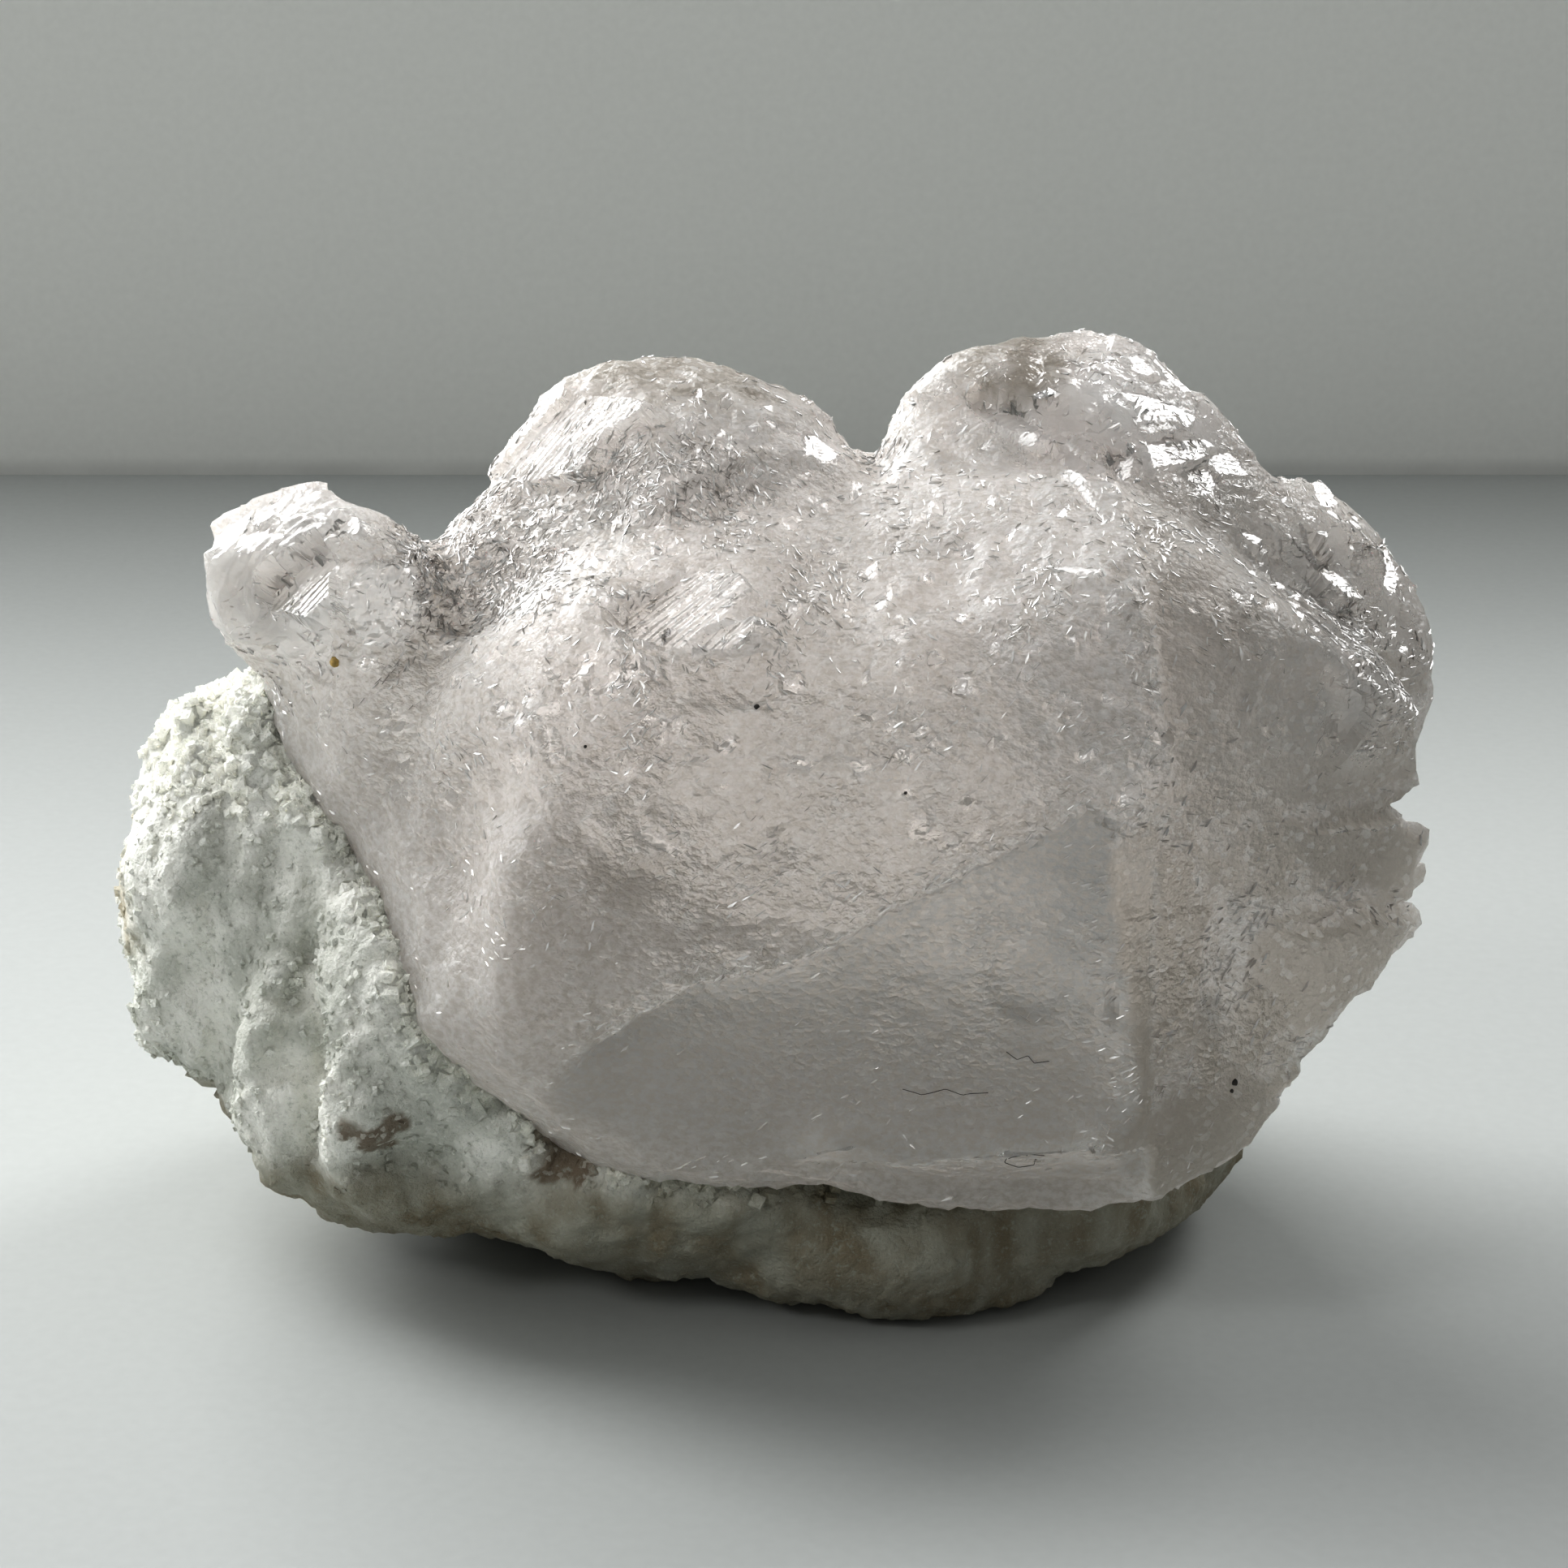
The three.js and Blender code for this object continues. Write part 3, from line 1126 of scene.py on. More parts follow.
@dataclass
class Crystal:
    """The kunzite mass: rounded domes, flat faces and an etched skin.

    Attributes:
        voxel: the width of the first skin's faces, in millimetres.
        widths: the widths of the finished skin's faces.
        finish: what it is made of.
        skin: its worked skin, once it is built.
        glassy, bright: patches that shine a little, and more; the bright ones are also painted milky white,
            a painted highlight.
        dripping, dull, splintered: patches with drips, worn patches and broken patches.
        knob: the knob at the left end.
        glass: the clearest patches.
        dents: hollows, each with its depth in millimetres.
        face: the middle of the stepped front.
        hollows: patches of painted shade where the front dips into a hollow.
        grain: the way across the striae.
        striae: the distances from groove to groove of its two sets of striae.
        side, edge_at: the way that the flank faces low down, and how far that way its edge lies.
        edge_top, edge_slant: the x and z that the edge passes high up, and how far it leans there.
        edge_waver, rim_waver, lip_waver: how the three edges wander.
        plate_front, plate_near: how far forward the smooth plate and its rim lie, along y.
        plate_left, plate_right, lip_left: where the plate and its lip end, along x.
        rim_knots, lip_knots: the x and z of the plate's upper edge and of its lip.
        shingles: the heights and the rises of the steps that overlap on the right flank.
        swells, roughness: the broadest bumps and the bumps of the etching.
        broad, middling, slivers: the facets that the skin is broken into, from the largest.
        chips, runs: the small steps of the breaks and of the drips.
        sharp: the angle above which an edge is drawn crisp, in degrees.
        step: the height of the low steps where thin plates have come away.
        step_rise: the bumps that those steps follow.
        front_at: the y in front of which the skin counts as the front.
        ripples, facets: the rings left by blows, and the flat faces.
    """

    voxel: float = 0.48
    widths: Widths = Widths()
    finish: CrystalFinish = CrystalFinish()
    skin: Skin = field(init=False, repr=False)
    glassy: tuple[Patch, ...] = (
        Patch((-23.5, -3.0, 37.0), (5.0, 6.0, 5.5)),
        Patch((-9.5, -1.0, 42.0), (5.0, 4.0, 2.6)),
        Patch((20.0, -1.0, 41.0), (6.5, 6.0, 4.0)),
        Patch((26.0, -1.0, 36.0), (6.0, 6.0, 4.0)),
    )
    dripping: tuple[Patch, ...] = (
        Patch((-13.5, -4.0, 37.0), (5.5, 6.0, 4.5)),
        Patch((-5.5, -5.0, 40.5), (7.0, 4.5, 2.6)),
        Patch((28.5, -6.0, 32.0), (4.0, 6.0, 5.0)),
    )
    dull: tuple[Patch, ...] = (
        Patch((-3.0, 3.0, 44.6), (11.5, 9.0, 4.2), 0.2),
        Patch((11.5, 2.0, 45.0), (4.4, 7.0, 3.2), 0.2),
    )
    knob: Patch = Patch((-23.5, -2.0, 37.0), (6.0, 8.0, 6.0))
    glass: tuple[Patch, ...] = (
        Patch((24.5, -7.0, 33.5), (8.5, 10.0, 6.5)),
        Patch((9.5, 0.0, 42.5), (5.0, 7.0, 4.0)),
        Patch((-10.0, -5.5, 38.8), (6.0, 5.0, 1.6)),
        Patch((-24.0, -4.5, 36.4), (4.4, 6.0, 4.6)),
    )
    # Painted highlight: these patches are painted milky white as well as made glossy.
    bright: tuple[Patch, ...] = (
        Patch((17.5, 0.0, 43.5), (4.0, 6.0, 2.6)),
        Patch((21.5, -1.5, 39.8), (4.0, 4.0, 2.8)),
        Patch((27.0, -2.5, 35.5), (3.6, 4.0, 2.8)),
    )
    dents: tuple[tuple[Patch, float], ...] = (
        (Patch((-5.78, -17.42, 25.3), (1.5, 3.0, 1.0), 0.3), 0.5),
        (Patch((12.08, -17.94, 20.5), (2.5, 3.0, 2.6), 0.7), 0.3),
        (Patch((15.93, -17.83, 19.3), (0.6, 3.0, 1.5), 0.3), 0.4),
        (Patch((21.22, -14.65, 19.6), (1.5, 2.5, 4.2), 0.4), 0.5),
        (Patch((-11.51, -17.4, 25.69), (2.2, 3.0, 2.0), 0.3), -0.3),
        (Patch((-16.0, -13.0, 24.0), (2.4, 3.0, 1.6), 0.3), 0.35),
        (Patch((2.0, -16.5, 30.0), (3.2, 3.0, 1.1), 0.3), 0.3),
        (Patch((-1.5, -15.5, 33.5), (2.6, 3.0, 0.9), 0.3), 0.3),
        (Patch((9.0, -15.0, 34.5), (2.2, 3.0, 1.4), 0.3), 0.35),
    )
    face: Patch = Patch((5.0, -15.0, 28.0), (17.0, 8.0, 11.0), 0.4)
    # Painted shade in the hollow by the pit low on the front.
    hollows: tuple[Patch, ...] = (Patch((-6.3, -17.4, 25.2), (3.2, 3.0, 1.7)),)
    splintered: tuple[Patch, ...] = (
        Patch((17.0, 0.0, 43.0), (9.5, 10.0, 5.0)),
        Patch((27.0, -3.0, 32.0), (7.0, 12.0, 8.0)),
        Patch((6.0, 16.0, 26.0), (34.0, 12.0, 18.0)),
    )
    grain: Vec = (-0.53, 0.81, 0.27)
    striae: tuple[float, float] = (0.52, 0.33)
    side: Vec = (0.57, -0.82, 0.02)
    edge_at: float = 24.2
    edge_top: tuple[float, float] = (17.1, 37.0)
    edge_slant: float = 0.18
    edge_waver: Bumps = Bumps(0.25, 3.0, Draw.LEDGES)
    rim_waver: tuple[Bumps, ...] = (Bumps(0.35, 2.2, Draw.LEDGES), Bumps(0.15, 0.8, Draw.LEDGES))
    lip_waver: Bumps = Bumps(0.2, 1.5, Draw.LEDGES)
    plate_front: Ease = Ease(-16.3, -17.0)
    plate_near: Ease = Ease(-15.0, -16.0)
    plate_left: Ease = Ease(-11.0, -9.5)
    plate_right: Ease = Ease(18.2, 17.4)
    lip_left: Ease = Ease(1.0, 2.0)
    rim_knots: tuple[tuple[float, ...], ...] = (
        (-11.0, -8.4, -3.4, 1.0, 5.6, 10.6, 14.3, 17.0),
        (14.4, 17.0, 20.2, 21.0, 23.9, 26.7, 28.7, 27.4),
    )
    lip_knots: tuple[tuple[float, ...], ...] = ((1.9, 17.7), (10.6, 11.6))
    shingles: tuple[tuple[float, ...], ...] = (
        (6.5, 8.4, 8.7, 10.0, 10.3, 12.5, 17.4, 17.8, 18.6, 22.6, 23.0, 24.5),
        (0.0, 0.6, -0.2, 0.7, -0.2, 0.2, 0.9, -0.7, -0.2, 0.8, -0.3, 0.0),
    )
    swells: Bumps = Bumps(0.38, 6.0, Draw.LUMPS)
    broad: Splinters = Splinters((5.5, 5.5, 4.2), 10.0, Draw.CLEAVE_BROAD)
    middling: Splinters = Splinters((2.2, 2.2, 1.9), 14.0, Draw.CLEAVE_MIDDLE)
    slivers: Splinters = Splinters((3.4, 2.2, 1.1), 12.0, Draw.CLEAVE_FINE, 42.0)
    chips: Chips = Chips(0.75, (1.0, 1.0, 0.8), 0.16)
    runs: Chips = Chips(0.42, (1.0, 1.0, 2.2), 0.10)
    sharp: float = 24.0
    roughness: Bumps = Bumps(0.15, 1.3, Draw.ETCH)
    step: float = 0.42
    step_rise: tuple[Bumps, ...] = (Bumps(1.4, 9.0, Draw.LEDGES), Bumps(0.25, 2.5, Draw.LEDGES))
    front_at: float = -8.0
    ripples: tuple[Ripple, ...] = (
        Ripple((-21.6, -6.2, 35.6), 1.5, 4.4, 0.55, 0.045, (-0.7, 0.2, 0.7)),
        Ripple((-23.0, -3.0, 34.0), 2.4, 4.8, 0.7, 0.04, (-0.4, -0.8, 0.3)),
    )
    facets: tuple[Facet, ...] = (
        Facet(Face.PLAIN, (
            (-23.61, -5.02, 34.55), (-21.67, -4.68, 36.39), (-21.27, -5.93, 36.04), (-21.10, -7.79, 35.17),
            (-21.74, -7.71, 34.66), (-22.57, -6.51, 34.61),
        )),
        Facet(Face.PLAIN, (
            (-22.99, -5.00, 36.24), (-21.73, -4.74, 37.45), (-21.36, -5.81, 36.89), (-23.42, -6.07, 35.04),
        )),
        Facet(Face.PLAIN, (
            (-20.54, -4.85, 38.01), (-20.25, -4.45, 38.50), (-19.46, -5.26, 38.73), (-19.74, -5.72, 38.22),
        )),
        Facet(Face.PLAIN, (
            (-24.44, -5.61, 35.01), (-24.35, -4.62, 35.64), (-23.74, -4.65, 36.14), (-23.43, -5.66, 35.84),
            (-23.91, -6.13, 35.17),
        )),
        Facet(Face.FOIL, (
            (-19.92, -7.38, 35.16), (-19.27, -6.41, 36.55), (-16.89, -6.39, 36.66), (-16.36, -7.04, 35.78),
            (-17.65, -8.13, 34.19), (-19.00, -8.12, 34.15),
        )),
        Facet(Face.STRIATED, (
            (-12.89, -0.15, 39.80), (-12.09, 0.01, 40.69), (-9.89, 0.14, 42.96), (-7.89, -2.25, 43.50),
            (-9.54, -3.58, 41.06), (-11.60, -1.80, 40.09),
        )),
        Facet(Face.DULL, (
            (-7.94, -1.31, 43.18), (-6.72, -2.38, 43.45), (-4.33, -4.89, 43.66), (-7.34, -2.91, 42.47),
            (-8.41, -2.66, 41.69), (-9.32, -2.39, 41.05),
        )),
        Facet(Face.PLAIN, (
            (1.92, -2.38, 42.33), (2.35, -1.99, 42.23), (3.44, -2.27, 41.46), (1.99, -3.44, 41.86),
        )),
        Facet(Face.PLAIN, (
            (2.07, -3.20, 41.63), (3.24, -2.45, 41.23), (2.57, -3.34, 41.27),
        )),
        Facet(Face.STRIATED, (
            (-6.66, -12.10, 35.46), (-6.04, -11.40, 36.14), (-3.79, -10.82, 37.53), (-2.09, -11.79, 37.78),
            (-1.44, -13.34, 37.21), (-2.25, -14.15, 36.38), (-3.73, -14.10, 35.71), (-5.62, -13.01, 35.44),
        )),
        Facet(Face.STRIATED, (
            (-3.08, -13.73, 35.01), (-2.63, -13.44, 35.50), (-0.96, -13.71, 36.36), (-0.59, -14.31, 36.16),
            (-1.88, -14.38, 35.29),
        )),
        Facet(Face.PLAIN, (
            (17.49, 1.79, 44.81), (17.85, 2.31, 44.85), (18.70, 1.94, 44.25), (18.05, 1.25, 44.30),
        )),
        Facet(Face.PLAIN, (
            (18.81, 3.18, 44.52), (19.11, 3.41, 44.46), (20.51, 2.71, 43.45), (20.16, 2.38, 43.49),
        )),
        Facet(Face.DULL, (
            (17.38, -0.36, 43.66), (18.04, 1.08, 44.06), (19.35, 2.37, 43.86), (19.93, 1.97, 43.15),
            (21.23, 2.84, 42.69), (20.58, 1.36, 42.25), (19.20, 0.29, 42.64),
        )),
        Facet(Face.PLAIN, (
            (17.16, -0.26, 43.47), (17.80, 0.36, 43.39), (19.20, 0.39, 42.70), (20.23, 0.62, 42.28),
            (19.49, -1.02, 41.98), (18.47, -1.31, 42.37), (17.66, -1.50, 42.70),
        )),
        Facet(Face.DULL, (
            (17.62, -2.11, 42.26), (18.92, -0.75, 42.15), (19.72, -0.77, 41.63), (18.29, -2.24, 41.78),
        )),
        Facet(Face.PLAIN, (
            (18.26, -2.18, 41.48), (19.30, -1.11, 41.40), (20.78, -0.20, 41.03), (21.57, -0.35, 40.59),
            (20.25, -1.68, 40.70), (19.35, -2.93, 40.64), (18.43, -3.61, 40.82),
        )),
        Facet(Face.PLAIN, (
            (21.18, -0.34, 40.46), (22.28, 0.69, 40.34), (23.00, -0.19, 39.65), (21.51, -1.07, 40.01),
        )),
        Facet(Face.PLAIN, (
            (19.94, -2.25, 40.09), (21.42, -0.89, 39.92), (21.21, -2.25, 39.48), (21.30, -3.50, 38.95),
            (20.66, -3.12, 39.41),
        )),
        Facet(Face.PLAIN, (
            (21.41, -2.57, 38.56), (22.19, -2.69, 38.15), (23.47, -1.87, 37.88), (23.57, -2.89, 37.44),
            (23.28, -3.74, 37.24), (22.75, -3.15, 37.72),
        )),
        Facet(Face.PLAIN, (
            (25.52, -0.34, 36.82), (25.93, 0.05, 36.79), (27.21, -1.09, 35.80), (28.81, -1.28, 35.04),
            (28.70, -2.13, 34.76), (27.77, -3.15, 34.78), (27.07, -2.27, 35.42), (25.55, -1.55, 36.35),
        )),
        Facet(Face.PLAIN, (
            (25.82, -1.74, 34.23), (26.54, -2.40, 33.73), (27.66, -3.14, 33.02), (28.17, -3.85, 32.62),
            (27.20, -5.12, 32.91), (26.74, -4.37, 33.28),
        )),
        Facet(Face.DULL, (
            (29.05, -0.17, 35.62), (29.83, 0.52, 35.62), (30.11, 0.19, 34.68), (29.56, -1.61, 32.53),
            (28.80, -2.07, 32.88), (28.77, -1.24, 34.28),
        )),
        Facet(Face.PLAIN, (
            (30.28, 3.25, 34.60), (30.73, 3.53, 34.52), (31.02, 1.95, 33.81), (30.56, 0.61, 33.51),
            (30.15, 1.29, 33.93),
        )),
        Facet(Face.PLAIN, (
            (26.97, 3.39, 38.25), (27.45, 3.96, 38.26), (27.81, 3.58, 37.94), (28.06, 2.88, 37.56),
            (27.12, 1.89, 37.59),
        )),
        Facet(Face.PLAIN, (
            (13.85, -5.89, 41.33), (14.34, -6.41, 41.31), (14.87, -8.37, 40.41), (14.53, -7.79, 40.56),
        )),
        Facet(Face.PLAIN, (
            (9.82, -0.73, 42.91), (10.30, -0.65, 43.01), (11.43, -1.49, 42.82), (12.92, -3.30, 42.30),
            (12.30, -3.40, 42.16), (11.00, -2.24, 42.46), (10.07, -1.33, 42.70),
        )),
        Facet(Face.PLAIN, (
            (12.16, -2.59, 41.79), (12.72, -2.97, 41.89), (12.85, -3.41, 41.69), (12.50, -3.49, 41.43),
            (12.10, -3.04, 41.47),
        )),
        Facet(Face.PLAIN, (
            (16.11, -3.38, 41.40), (16.97, -4.08, 41.51), (16.71, -4.69, 40.96), (16.28, -4.83, 40.60),
        )),
        Facet(Face.PLAIN, (
            (4.31, -10.73, 37.50), (4.31, -10.22, 37.81), (4.77, -10.15, 38.11), (4.68, -10.78, 37.67),
        )),
        Facet(Face.PLAIN, (
            (12.95, -12.41, 38.48), (14.70, -13.66, 38.77), (14.69, -13.82, 38.67), (13.64, -13.12, 38.46),
        )),
        Facet(Face.PLAIN, (
            (-6.32, -17.18, 27.19), (-5.58, -17.16, 27.19), (-4.29, -17.17, 26.48), (-4.55, -17.19, 26.33),
        )),
    )

    def build(self, grains: NodeTree) -> Object:
        """Makes the crystal.

        Args:
            grains: the small-grains group.

        Returns:
            The piece.
        """
        self.skin = skin = Skin(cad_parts["kunzite"], self.voxel)
        skin.smooth(3)
        self.carve(skin)
        self.mark(skin)
        LOG.info("crystal skin: %d points, %d faces", len(skin.points), len(skin.faces))
        made = skin.piece("kunzite_crystal", self.sharp, self.finish.material(grains))
        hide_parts("kunzite")
        return made

    def rim(self, x: np.ndarray) -> np.ndarray:
        """How high the upper edge of the smooth plate lies, at each x.

        Args:
            x: how far to the right, in millimetres.

        Returns:
            The height at each x.
        """
        along = np.stack([x, np.zeros_like(x), np.zeros_like(x)], axis=1)
        coarse, fine = (bumps.rise(along) for bumps in self.rim_waver)
        return np.interp(x, *self.rim_knots) + coarse + fine

    def lip(self, x: np.ndarray) -> np.ndarray:
        """How high the smooth plate's lip lies, at each x."""
        return np.interp(x, *self.lip_knots)

    def past_lip(self, points: np.ndarray) -> np.ndarray:
        """How far each point lies above the plate's ragged lip."""
        return points[:, 2] - self.lip(points[:, 0]) - self.lip_waver.rise(points)

    def past_edge(self, points: np.ndarray) -> np.ndarray:
        """How far each point lies to the right of the flank's edge.

        Args:
            points: places in millimetres.

        Returns:
            The distance, below 0 on the left of the edge.
        """
        x, _, z = points.T
        top_x, top_z = self.edge_top
        upper = self.side[0] * (x - top_x - self.edge_slant * (top_z - z)) - self.edge_waver.rise(points)
        turn = smoothstep(26, 32, z)
        return turn * upper + (1 - turn) * (points @ self.side - self.edge_at)

    def terrace(self, points: np.ndarray) -> np.ndarray:
        """How far each point lies on the smooth plate low on the front.

        Args:
            points: places in millimetres.

        Returns:
            A share from 0 to 1 for each point.
        """
        x, y, z = points.T
        below = smoothstep(0.12, -0.12, z - self.rim(x))
        return self.plate_front(y) * below * self.plate_left(x) * self.plate_right(x)

    def flank(self, points: np.ndarray) -> np.ndarray:
        """How far each point lies on the cleaved right flank."""
        return smoothstep(-0.14, 0.14, self.past_edge(points))

    def crest(self, points: np.ndarray) -> np.ndarray:
        """How far each point lies on a pale line: a painted highlight along the plate's rim and its lip, and
        a pale strip with painted glints left of the flank's edge.

        Args:
            points: places in millimetres.

        Returns:
            A share from 0 to 1 for each point.
        """
        x, y, z = points.T
        above = z - self.rim(x)
        plate = self.plate_near(y) * self.plate_left(x) * self.plate_right(x)
        line = smoothstep(0.0, 0.1, above) * smoothstep(0.5, 0.25, above)
        line += 0.3 * smoothstep(2.4, 0.4, above) * (above > 0)
        ledge = smoothstep(0.28, 0.1, np.abs(self.past_lip(points))) * plate * self.lip_left(x)
        inward = -self.past_edge(points)
        strip = smoothstep(1.8, 0.2, inward) * (inward > 0) * smoothstep(8, 12, z) * smoothstep(41, 37, z)
        coarse, fine = (smooth_noise(points, wave, Draw.LEDGES) for wave in (2.4, 0.6))
        strip = strip * (y < self.front_at) * (0.5 + 0.6 * coarse + 0.4 * fine)
        return np.clip(np.maximum(np.maximum(plate * line, ledge), strip), 0, 1)

    def zones(self, points: np.ndarray) -> Zones:
        """How far each point lies in the kinds of places that are worked apart.

        Args:
            points: places in millimetres.

        Returns:
            The shares of each kind.
        """
        return Zones(
            calm=np.maximum(self.terrace(points), 0.6 * self.flank(points)),
            broken=cover(self.splintered, points),
            worn=cover(self.dull, points),
            drips=cover(self.dripping, points),
            knob=self.knob.weight(points),
        )

    def spacing(self, points: np.ndarray) -> np.ndarray:
        """How long the skin's edges may be at each place.

        Args:
            points: places in millimetres.

        Returns:
            The length at each point, in millimetres.
        """
        x, y, z = points.T
        widths, front, past = self.widths, y < self.front_at, self.past_edge(points)
        upper = smoothstep(29, 32, z) * smoothstep(5, 1, y)
        wanted = np.where(upper > 0.5, widths.upper, widths.plain)
        wanted[front & (np.abs(z - self.rim(x)) < 0.8) & (np.abs(x - 4) < 14)] = widths.rim
        wanted[front & (np.abs(z - self.lip(x)) < 0.5) & (np.abs(x - 9.5) < 9)] = widths.rim
        wanted[(y < -2) & (past > -1.3) & (past < 0.4)] = widths.edge
        wanted[(x > 27) & (z < 24.5) & (y < 3)] = widths.steps
        for facet in self.facets:
            wrinkled = facet.face in (Face.STRIATED, Face.FOIL)
            wanted[facet.near(points, 0.4)] = widths.wrinkled if wrinkled else widths.facet
        for ripple in self.ripples:
            wanted[(ripple.share(points) > 0.1) & (y < -1)] = widths.wrinkled
        return wanted

    def carve(self, skin: Skin) -> None:
        """Gives the skin its swells, ledges, splinters, chips, etching and flat faces.

        Args:
            skin: the crystal's skin.
        """
        zones = self.zones(skin.points)
        skin.push(self.swells.rise(skin.points) * (1 - 0.85 * zones.calm))
        skin.push(self.ledges(skin.points) * (1 - 0.8 * zones.calm))
        broad = 0.25 + 0.6 * zones.broken + 0.4 * zones.knob - 0.2 * zones.calm
        skin.cleave(self.broad, broad)
        skin.refine(self.spacing)
        zones = self.zones(skin.points)
        self.shape_plate(skin)
        self.shape_flank(skin)
        for patch, depth in self.dents:
            skin.push(-depth * patch.weight(skin.points))
        self.strike(skin, self.splinter(skin, zones))
        skin.settle(np.where(skin.points[:, 0] > 27, 1.2, 0.62))

    def ledges(self, points: np.ndarray) -> np.ndarray:
        """Low steps where thin plates have come away, as heights.

        Args:
            points: places in millimetres.

        Returns:
            How far the steps lift each point.
        """
        broad, fine = (bumps.rise(points) for bumps in self.step_rise)
        level = (broad + fine) / self.step
        whole = np.floor(level)
        return (whole + smoothstep(0.72, 1.0, level - whole) - level) * self.step

    def shape_plate(self, skin: Skin) -> None:
        """Sets the smooth plate back from the skin above it, and once more below its lip.

        Args:
            skin: the crystal's skin.
        """
        skin.push(-0.3 * self.terrace(skin.points))
        below = smoothstep(0.12, -0.12, self.past_lip(skin.points))
        skin.push(-0.35 * self.terrace(skin.points) * below * self.lip_left(skin.points[:, 0]))

    def shape_flank(self, skin: Skin) -> None:
        """Gives the right flank its overlapping steps and its raised edge.

        Args:
            skin: the crystal's skin.
        """
        x, y, z = skin.points.T
        level = z + 0.25 * y + 0.5 * smooth_noise(skin.points, 2.5, Draw.RIBS)
        skin.push(np.interp(level, *self.shingles) * smoothstep(22, 28, x))
        past = self.past_edge(skin.points)
        raised = smoothstep(-1.4, -0.1, past) * smoothstep(0.12, -0.1, past)
        sunk = 0.8 * smoothstep(-0.1, 0.15, past) * smoothstep(1.6, 0.3, past)
        skin.push(0.26 * (raised - sunk) * smoothstep(10, 14, z) * smoothstep(42, 39, z) * (y < -2))

    def splinter(self, skin: Skin, zones: Zones) -> np.ndarray:
        """Gives the skin its splinters, chips and etching.

        Args:
            skin: the crystal's skin.
            zones: where it is calm, broken, worn and dripping.

        Returns:
            How glossy the breaks have left each point.
        """
        calm, broken, knob = zones.calm, zones.broken, zones.knob
        skin.cleave(self.middling, 0.3 - 0.15 * knob - 0.25 * calm)
        shard = skin.cleave(self.slivers, 0.9 * broken)
        skin.push(self.roughness.rise(skin.points) * (1 - 0.7 * calm) * (1 - 0.6 * knob))
        uneven = 0.1 * smooth_noise(skin.points, 5.0, Draw.CHIPS)
        amount = (0.10 + 0.05 * broken + uneven) * (1 - 0.85 * calm)
        amount *= (1 - zones.worn) * (1 - 0.9 * knob) * smoothstep(25, 31, skin.points[:, 2])
        steps = skin.chip(self.chips, amount)
        runs = skin.chip(self.runs, 0.55 * zones.drips)
        pits = np.abs(smooth_noise(skin.points * np.array((1, 1, 0.6)), 0.7, Draw.ETCH))
        skin.push(-0.07 * pits * (1 - 0.6 * calm))
        clean = np.clip(broken, 0, 1) * smoothstep(0.35, 0.5, shard)
        return np.maximum(np.maximum(0.8 * steps, 0.7 * runs), 0.85 * clean)

    def strike(self, skin: Skin, bright: np.ndarray) -> None:
        """Breaks the named flat faces, with their striae, wrinkles and ripples.

        Args:
            skin: the crystal's skin.
            bright: how glossy each point already is.
        """
        gloss = np.maximum(0.35 * cover(self.glassy, skin.points), bright)
        gloss = np.maximum(gloss, 0.6 * cover(self.bright, skin.points))
        for ripple in self.ripples:
            skin.push(ripple.rise(skin.points))
            gloss = np.maximum(gloss, 0.9 * ripple.share(skin.points))
        share = {"gloss": gloss, "striae": 0 * gloss, "foil": 0 * gloss}
        normals = skin.normals()
        for facet in self.facets:
            skin.points, on_face = facet.press(skin.points, normals)
            for mask, value in zip(share, facet.face.value):
                share[mask] = share[mask] * (1 - on_face) + value * on_face
        across = skin.points @ np.array(self.grain) + 0.22 * smooth_noise(skin.points, 1.5, Draw.STRIAE)
        wide, close = (np.abs(np.mod(across / period, 1.0) - 0.5) for period in self.striae)
        large, small = (np.abs(smooth_noise(skin.points, wave, Draw.STRIAE)) for wave in (0.9, 0.45))
        uneven = np.clip(0.45 + 1.0 * smooth_noise(skin.points, 1.2, Draw.ETCH), 0, 1)
        skin.push(0.24 * (wide + 0.7 * close - 0.42) * share["striae"] ** 2 * uneven)
        skin.push(0.34 * (large + 0.5 * small - 0.3) * share["foil"])
        skin.masks |= share

    def mark(self, skin: Skin) -> None:
        """Works out where the crystal is milky, pink, dull, etched and clear, and where highlights, light
        and shade are painted into its colour.

        Args:
            skin: the crystal's worked skin, which takes the masks.
        """
        points, masks = skin.points, skin.masks
        x, _, z = points.T
        terrace, crest, painted_gleam = self.terrace(points), self.crest(points), cover(self.bright, points)
        ragged = np.clip(1.7 + 1.5 * smooth_noise(points, 2.4, Draw.CRUMBS), 0.4, 2.2)
        # Painted shade: the hollow on the front takes some of the dull skin's darker colour.
        worn = np.maximum(ragged * cover(self.dull, points), 0.45 * cover(self.hollows, points))
        worn = np.maximum(worn, 0.17 * self.face.weight(points))
        masks["dull"] = worn * (0.75 + 0.5 * smooth_noise(points, 0.8, Draw.CRUMBS))
        # Painted light: low on the smooth plate less of its darker colour is mixed in, so that the foot,
        # which gets little light, looks lighter.
        masks["calm"] = terrace * (0.5 + 0.5 * smoothstep(12, 25, z))
        crusty = 0.6 + 0.45 * smooth_noise(points, 2.2, Draw.ETCH)
        crusty += 0.3 * smooth_noise(points, 6.0, Draw.CHIPS)
        crusty = np.clip(crusty + 0.4 * crest, 0.35, 1.0) * (1 - 0.5 * terrace)
        masks["etch"] = crusty * (1 - 0.83 * masks["gloss"])
